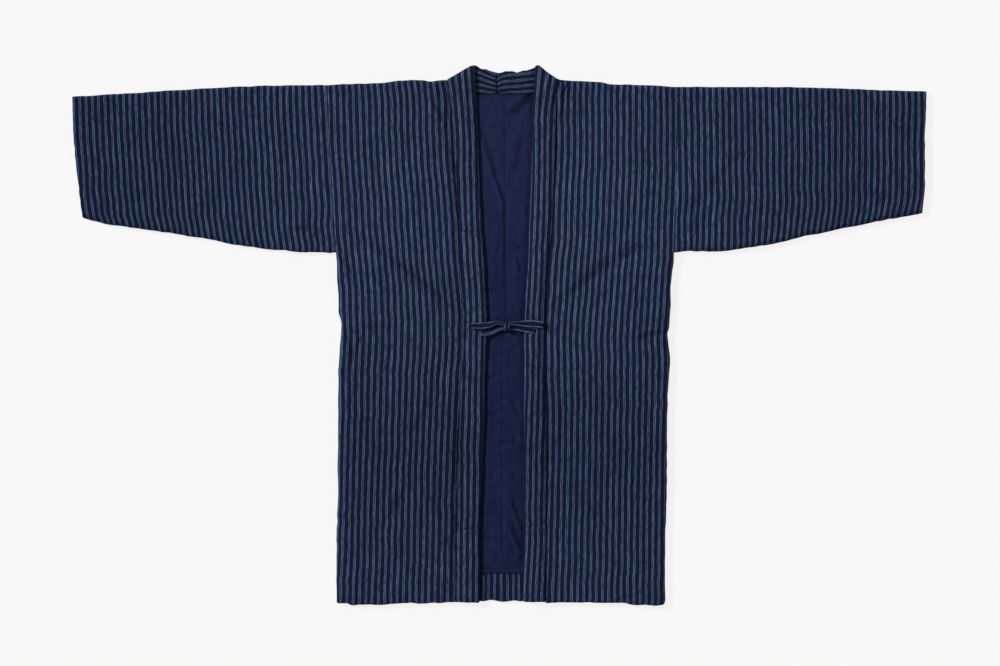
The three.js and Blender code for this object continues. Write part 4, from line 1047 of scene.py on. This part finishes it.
# How far the bands wander from that even spacing, high on the sleeve and low, and how far
# they are pulled aside at the seam.
sleeveWander = {
    "left": table("x high low pulled", [
        (-650, 1.4, 1.4, 0), (-621, 1.3, 1.3, -0.5), (-590, 0.8, 0.8, -2), (-568, 0.45, 0.45, 0),
        (-515, 0.2, 0.4, 1.8), (-462, -0.4, -1, 2.8), (-410, -1.1, -1.4, 2.8), (-357, -1, -1, 2.4),
        (-304, -0.8, -0.6, 1.8), (-262, -0.2, -0.2, 0)]),
    "right": table("x high low pulled", [
        (280, 0, 0, 0), (308, 0.2, 0, -0.2), (361, 0.85, 1.7, -0.4), (414, 0.85, 3, -2.8),
        (467, 0.85, 4.4, -3.6), (520, 0.7, 4.2, -4), (573, -0.45, 2.6, -3.2), (626, -0.4, 0, -2.2),
        (660, 0, 0, -2)]),
}
sleeveCreases = {
    "left": [
        crease([(-262, 150), (-300, 164), (-338, 160)], 1.2, 7, 71),
        crease([(-600, 190), (-560, 214), (-520, 210)], 0.8, 8, 72),
        crease([(-470, 170), (-440, 200), (-430, 240)], 0.8, 8, 73),
        crease([(-630, 330), (-600, 352), (-560, 350)], 0.6, 8, 74),
        crease([(-300, 372), (-330, 340), (-336, 300)], 0.7, 8, 75),
    ],
    "right": [
        crease([(280, 152), (316, 166), (352, 160)], 1.2, 7, 81),
        crease([(276, 178), (313, 210), (344, 249), (383, 288)], 1.1, 8, 86),
        crease([(620, 200), (580, 222), (544, 216)], 0.8, 8, 82),
        crease([(486, 176), (458, 206), (452, 250)], 0.8, 8, 83),
        crease([(636, 338), (604, 356), (566, 352)], 0.6, 8, 84),
        crease([(310, 370), (338, 338), (342, 296)], 0.7, 8, 85),
    ],
}


# A sleeve is a tube that lies flat. t goes up from the seam to the top fold and s along
# from the armhole to the cuff. Both layers turn to the fold and the seam through
# quarter ellipses, and the inner skin follows the outer one a wall's thickness in.
def addSleeve(which):
    sign = toward[which]
    piece = {
        "nodes": [f"sleeve_{which}"], "slot": "striped_cotton", "cut": (0.5, 0.4), "held": "laid",
        "firstBand": {"left": 500, "right": 560}[which], "stitchShade": {"left": 0.3, "right": 0.6}[which],
        "armholePuckers": (0.4, 6), "seamPuckers": (1.0, 10), "cuffPuckers": (0.8, 7),
    }
    length, depth = 395, 230
    s = shares(length, 3.0, [0, 0.3, 0.8, 1.6, 2.8, 4.4])
    t = shares(depth, 3.0, [0, 0.3, 0.9, 1.8, 3.0, 4.6, 6.6])
    s, t = np.meshgrid(s, t, indexing="ij")
    outer = lambda t: along(sideEdge[which], "y", "x", armpit + 260 * t) + sign * 0.15
    cuff = lambda t: along(cuffEdge[which], "t", "x", t) + 0.5 * ripple(t * depth, 12, 171 + sign)
    x = outer(t) + (cuff(t) - outer(t)) * s
    seamWave = 0.8 * ripple(x, 10, 173 + sign) + 0.4 * ripple(x, 23, 175 + sign)
    low = along(sleeveSeam[which], "x", "y", x) + (seamWave - 0.4) * smooth(0, 0.03, s)
    high = shoulder(x)
    y = low + (high - low) * t
    height = high - low
    toEdge = np.minimum(t, 1 - t) * height
    half = wall + (0.9 + 1.6 * np.sin(np.pi * t) * np.sin(np.pi * np.clip(s, 0.08, 0.92))) / 2
    rise = lambda away, turn: np.sqrt(1 - (1 - np.clip(away / turn, 0, 1)) ** 2)
    turned = rise(toEdge, 6.2)
    fromArmhole, fromCuff = s * length, (1 - s) * length
    thinCuff, thinArm = 1.8 * (1 - rise(fromCuff, 4.4)), 0.3 * (1 - rise(fromArmhole, 2.6))
    folds = creases(x, y, sleeveCreases[which])
    forms = folds + crinkles(x, y, 180 + sign)
    forms += puckers(y, fromArmhole, *piece["armholePuckers"], 191 + sign)
    forms += puckers(x, t * height, *piece["seamPuckers"], 193 + sign)
    forms += puckers(y, fromCuff, *piece["cuffPuckers"], 195 + sign)
    upper = half + (half - thinCuff - thinArm) * turned + forms * np.clip(toEdge / 8, 0, 1)
    lower = half - (half - 0.3 * thinCuff - 0.3 * thinArm) * turned
    middle = (low + high) / 2
    innerY = middle + (y - middle) * (height - 2 * wall) / height
    # The cuff's mouth stands open a little, and the slit narrows towards the armhole.
    gap = np.maximum(half - wall, 0) * turned + 0.7 * (thinCuff + thinArm)
    skins = []
    for skinY, above, below in ((y, upper, lower), (innerY, half + gap * turned, half - gap * turned)):
        top = np.stack([x, skinY, above], -1)[:, ::-1]
        under = np.stack([x, skinY, below], -1)[:, 1:-1]
        skins.append(np.concatenate([top, under], 1))
    count, around = skins[0].shape[:2]
    index = np.arange(count * around).reshape(count, around)
    index = np.concatenate([index, index[:, :1]], 1)
    faces = [gridFaces(index), gridFaces(index + count * around)[:, ::-1]]
    for row, way in ((0, -1), (count - 1, 1)):
        a, b = index[row, :-1], index[row, 1:]
        faces.append(np.stack([a, b, b + count * around, a + count * around], -1)[:, ::way])
    if which == "left":
        faces = [f[:, ::-1] for f in faces]
    points = np.concatenate([skin.reshape(-1, 3) for skin in skins])
    pointX, pointY = points[:, 0], points[:, 1]
    aloft, below, pulled = (along(sleeveWander[which], "x", k, pointX) for k in ("high", "low", "pulled"))
    fromSeam = np.maximum(0, pointY - along(sleeveSeam[which], "x", "y", pointX))
    acrossBands = pointX - aloft - (below - aloft) * smooth(235, 185, pointY)
    acrossBands -= pulled * np.exp(-((fromSeam / 17) ** 1.4))
    first, pitch = (along(sleeveBands[which], "y", k, pointY) for k in ("first", "pitch"))
    phase = (acrossBands - first) / pitch
    # Painted shade of small stitched dents darkens a line just above the seam; painted shade also lies in
    # the creases' troughs.
    stitchShade = piece["stitchShade"] * (0.5 + 0.5 * ripple(x, 4, 197 + sign))
    shade = 0.12 * np.minimum(folds, 0) - stitchShade * bump(t * height - 4.6, 1.5)
    shade = np.concatenate([shade[:, ::-1], 0 * shade[:, 1:-1]], 1).ravel()
    # The stripes run on round the cuff's lip from the outer skin to the inner one.
    lip = np.stack([aroundRim * thinCuff, aroundRim * thinCuff + wall * bump(fromCuff, 4)])
    lip = np.concatenate([lip[:, :, ::-1], lip[:, :, 1:-1]], 2).ravel()
    phase += sign * lip / stripePitch + piece["firstBand"]
    # Painted light and shade over the coat is added to the painted shade above.
    tone = paintedLightAndShade(pointX, pointY) + np.tile(shade, 2)
    addPiece(piece, points, faces, np.stack([phase, pointY, tone], -1))


for which in ("left", "right"):
    addBack(which)
    addLining(which)
    addFront(which)
    addSleeve(which)
    print("body and sleeve made", which)
addHemTurn()
for which in ("left", "right"):
    addNeck(which)
for which in ("left", "right"):
    lowJoin, highJoin = joins[which]
    addBand(which, "end", None, lowJoin)
    addBand(which, "lower", lowJoin, highJoin)
    addBand(which, "upper", highJoin, None)
print("collar made")

# The bow
knot = {"x": 11.5, "y": 12.8, "halfX": 5.4, "halfY": 6.4, "low": 10.9, "high": 19.8}
layers = {"tie": 12.0, "tail": 14.0, "loop": 16.1}
onCollar = collarTop + 0.7 + 1.05


# Joins rings of points to a tube with a fan over each end.
def tube(rings, endPoints):
    count, around = rings.shape[:2]
    index = np.arange(count * around).reshape(count, around)
    faces = [gridFaces(np.concatenate([index, index[:, :1]], 1))]
    for k, ring in enumerate((index[0], index[-1][::-1])):
        faces.append(np.stack([np.full(around, count * around + k), ring, np.roll(ring, -1)], -1))
    return np.concatenate([rings.reshape(-1, 3), endPoints]), faces


# Values for the points of a tube and the two in its ends.
def withEnds(values, first=0, last=0):
    return np.concatenate([values.ravel(), [first, last]])


# A flat tie along a route. Each row gives its middle, its width and, where it isn't along Y,
# the direction of its width. number is that of its pale band, paleAt where that band's middle
# lies across it, from -0.5 to 0.5, and tip how much painted shade darkens its last end.
def addStrap(name, rows, cut, number, paleAt=0.5, tipShade=0.0):
    piece = {"nodes": [name], "slot": "striped_cotton", "cut": cut, "held": "folded", "thick": 1.5}
    rows = np.array([r if len(r) > 4 else (*r, 0, 1) for r in rows], float)
    run = np.concatenate([[0], np.cumsum(np.linalg.norm(np.diff(rows[:, :3], axis=0), axis=1))])
    columns = {"run": run, **{k: rows[:, i] for i, k in enumerate("x y z width flatX flatY".split())}}
    fine = shares(run[-1], 0.8, [0, 0.15, 0.5]) * run[-1]
    x, y, z, width, flatX, flatY = (along(columns, "run", k, fine) for k in list(columns)[1:])
    toEnd = np.minimum(fine, run[-1] - fine)
    width = width + 0.5 * ripple(fine, 6, number) - 0.8 * np.exp(-toEnd / 0.4)
    centre = np.stack([x, y, z], -1)
    heading = np.gradient(centre, axis=0)
    heading /= np.linalg.norm(heading, axis=1)[:, None]
    flat = np.stack([flatX, flatY, 0 * flatX], -1)
    flat -= heading * (flat * heading).sum(1)[:, None]
    flat /= np.linalg.norm(flat, axis=1)[:, None]
    up = np.cross(heading, flat)
    angle = np.linspace(0, 2 * np.pi, 29)[:-1]
    # Across the tie, a flat oval with a shallow channel beside each edge.
    w = 0.5 * np.sign(np.cos(angle)) * np.abs(np.cos(angle)) ** 0.5
    h = 0.5 * np.sign(np.sin(angle)) * np.abs(np.sin(angle)) ** 0.6
    h = h * (1 - 0.28 * bump(np.abs(w) - 0.33, 0.06))
    ends = 1 - 0.7 * np.exp(-toEnd / 0.3)
    sag = 0.18 * uneven(fine[:, None], w[None] * width[:, None], 5, 2.5, number + 1)
    points = centre[:, None] + flat[:, None] * (w[None] * width[:, None])[..., None]
    points = points + up[:, None] * (h[None] * (piece["thick"] * ends)[:, None] + sag)[..., None]
    count, around = points.shape[:2]
    points, faces = tube(points, np.stack([points[0].mean(0), points[-1].mean(0)]))
    # The strap is a little wider than the distance between pale bands.
    bandsAcross = 1.02
    phase = withEnds(np.tile(w, (count, 1)) * bandsAcross) + number - bandsAcross * paleAt
    lengths = withEnds(np.repeat(fine, around), 0, run[-1])
    edges = withEnds(np.tile(bump(0.5 - np.abs(w), 0.06), count))
    # Its edges are lighter, and painted shade darkens its last end.
    tone = 0.4 * edges - 0.05 - tipShade * np.exp(-(run[-1] - lengths) / 1.5)
    addPiece(piece, points, faces, np.stack([phase, lengths, tone], -1))


# A loop runs out from the knot on the collar, turns over at its end and comes back on
# itself. Each row gives its middle and its width.
def addLoop(name, start, startY, rows, cut, number):
    low, high = onCollar + 0.9, onCollar + 2.8
    out = [(x, y, low + 0.4 * np.exp(-k), w) for k, (x, y, w) in enumerate(rows)]
    endX, endY, endWidth = rows[-1]
    turn = endX + np.sign(endX - start) * 1.2
    back = [(x, y + 0.3, high + 0.5 * np.exp(-k), w) for k, (x, y, w) in enumerate(rows)]
    addStrap(name, [
        (start, startY, layers["loop"], 5), *out, (turn, endY, (low + high) / 2, endWidth),
        *back[::-1], (start, startY + 0.2, layers["loop"] + 2.2, 5.2),
    ], cut, number)


leftOfKnot, rightOfKnot = knot["x"] - knot["halfX"] + 0.6, knot["x"] + knot["halfX"] - 0.6
foldLeft, foldRight = float(bandFold("left", 14.0)), float(bandFold("right", 14.0))
addStrap("tie_left", [
    (foldLeft - 0.8, 14, 9.9, 9.5), (-10, 13.8, 10.5, 9.3), (-3, 13.3, 11.2, 8.4),
    (leftOfKnot, knot["y"], layers["tie"], 6.5)],
    (0.01, 0.026), 700)
addStrap("tie_right", [
    (rightOfKnot, knot["y"], layers["tie"], 6.5), (25, 13.4, 11.2, 8.4), (31, 14, 10.5, 9.3),
    (foldRight + 0.8, 14, 9.9, 9.5)],
    (0.01, 0.024), 708)
leftRows = [
    (1, 18.4, 5.2), (-4, 19, 5.4), (-9.5, 17.7, 7), (-15, 15.8, 9.2), (-25, 14.4, 10.2),
    (-41.6, 14, 10.2)]
rightRows = [
    (21, 18.2, 5), (29.5, 17.5, 7), (40, 17.1, 10.2), (52, 17.2, 10.6), (61, 16.5, 10.8),
    (67.4, 15.6, 10.6)]
addLoop("bow_loop_left", leftOfKnot, knot["y"] + 4, leftRows, (0.01, 0.104), 709)
addLoop("bow_loop_right", rightOfKnot, knot["y"] + 4, rightRows, (0.01, 0.106), 721)
addStrap("bow_tail_left", [
    (leftOfKnot, knot["y"] - 1.8, layers["tail"], 6.5), (-3, 9.6, 13.2, 9.6, 0.3, 0.95),
    (-12, 5.6, 13.6, 11.6, 0.3, 0.95),
    (-20, 3.8, 14.4, 10.8, 0.15, 0.98), (-28.2, 3, onCollar, 9.7)], (0.011, 0.034), 720, paleAt=-0.14)
addStrap("bow_tail_right", [
    (rightOfKnot, knot["y"] - 1.4, layers["tail"], 6.5), (25, 11.6, 13.4, 8.8, -0.2, 0.97),
    (35, 10, 13.8, 9.8, -0.25, 0.96), (46.4, 7.8, onCollar - 0.3, 9.8, -0.2, 0.97),
    (56, 5.6, onCollar - 0.1, 9.6, -0.1, 0.99)], (0.01, 0.042), 708, tipShade=0.7)


# The knot: an oval block whose turns stand out as upright ridges.
def addKnot():
    piece = {
        "nodes": ["bow_knot"], "slot": "striped_cotton", "cut": (0.0125, 0.0235), "held": "folded",
        "firstBand": 732, "bands": 0.75, "turnLength": 6,
    }
    lengthways, angle = np.linspace(-1, 1, 33), np.linspace(0, 2 * np.pi, 49)[:-1]
    lengthways, around = np.meshgrid(lengthways, angle, indexing="ij")
    bulge = (1 - np.abs(lengthways) ** 3.5) ** (1 / 2.4)
    ridge = 1 + 0.1 * np.cos(lengthways * 3 * np.pi + 0.6 * np.sin(around)) * bulge
    ring = bulge * ridge
    cos, sin = np.cos(around), np.sin(around)
    x = knot["x"] + knot["halfX"] * lengthways * (1 + 0.08 * cos)
    y = knot["y"] + knot["halfY"] * ring * np.sign(cos) * np.abs(cos) ** 0.85 + 0.5 * lengthways
    middle, halfZ = (knot["low"] + knot["high"]) / 2, (knot["high"] - knot["low"]) / 2
    z = middle + halfZ * ring * np.sign(sin) * np.abs(sin) ** 0.85 * 0.94
    points = np.stack([x, y, z], -1)
    points, faces = tube(points[1:-1], np.stack([points[0].mean(0), points[-1].mean(0)]))
    phase = withEnds(piece["bands"] * (lengthways[1:-1] + 0.62)) + piece["firstBand"]
    length = withEnds(around[1:-1] * piece["turnLength"])
    addPiece(piece, points, faces, np.stack([phase, length, 0 * phase - 0.1], -1))


addKnot()
print("bow made")

# The camera looks straight down on the coat, a little to the right of and above its middle.
lens, sensor, fieldWidth, coatHeight = 100.0, 36.0, 1.5574, 0.006
distance = fieldWidth * lens / sensor
cameraData = bpy.data.cameras.new("camera")
cameraData.lens, cameraData.sensor_width = lens, sensor
cameraData.clip_end = 50.0
camera = bpy.data.objects.new("camera", cameraData)
camera.location = (0.0011, 0.0033, coatHeight + distance)
bpy.context.scene.collection.objects.link(camera)
bpy.context.scene.camera = camera

# A plain pale floor, just under the coat, and soft light from all round.
floorMesh = bpy.data.meshes.new("floor")
reach = 6.0
corners = [(-reach, -reach, 0), (reach, -reach, 0), (reach, reach, 0), (-reach, reach, 0)]
floorMesh.from_pydata(corners, [], [(0, 1, 2, 3)])
floor = bpy.data.objects.new("floor", floorMesh)
floorDrop = 0.0004
floor.location.z = -floorDrop
bpy.context.scene.collection.objects.link(floor)
floorPaint = bpy.data.materials.new("floorPaint")
floorPaint.use_nodes = True
floorShader = floorPaint.node_tree.nodes["Principled BSDF"]
floorLook = {
    "Base Color": (0.1, 0.1, 0.1, 1), "Roughness": 0.9, "Specular IOR Level": 0.0,
    "Emission Color": (1, 1, 1, 1), "Emission Strength": 0.841,
}
for label, value in floorLook.items():
    floorShader.inputs[label].default_value = value
floorMesh.materials.append(floorPaint)

world = bpy.data.worlds.new("world")
bpy.context.scene.world = world
world.use_nodes = True
background = world.node_tree.nodes["Background"]
background.inputs["Color"].default_value = (1, 1, 1, 1)
background.inputs["Strength"].default_value = 0.36

# The key light comes from the left and a little from the collar's side.
keyData = bpy.data.lights.new("keyLight", "SUN")
keyData.energy, keyData.angle = 3.5, 0.2
keyLight = bpy.data.objects.new("keyLight", keyData)
keyLight.rotation_euler = (0, -np.radians(57), np.radians(-28))
bpy.context.scene.collection.objects.link(keyLight)
bpy.context.scene.view_settings.view_transform = "Standard"
bpy.context.scene.view_settings.look = "None"
print("light and camera made")
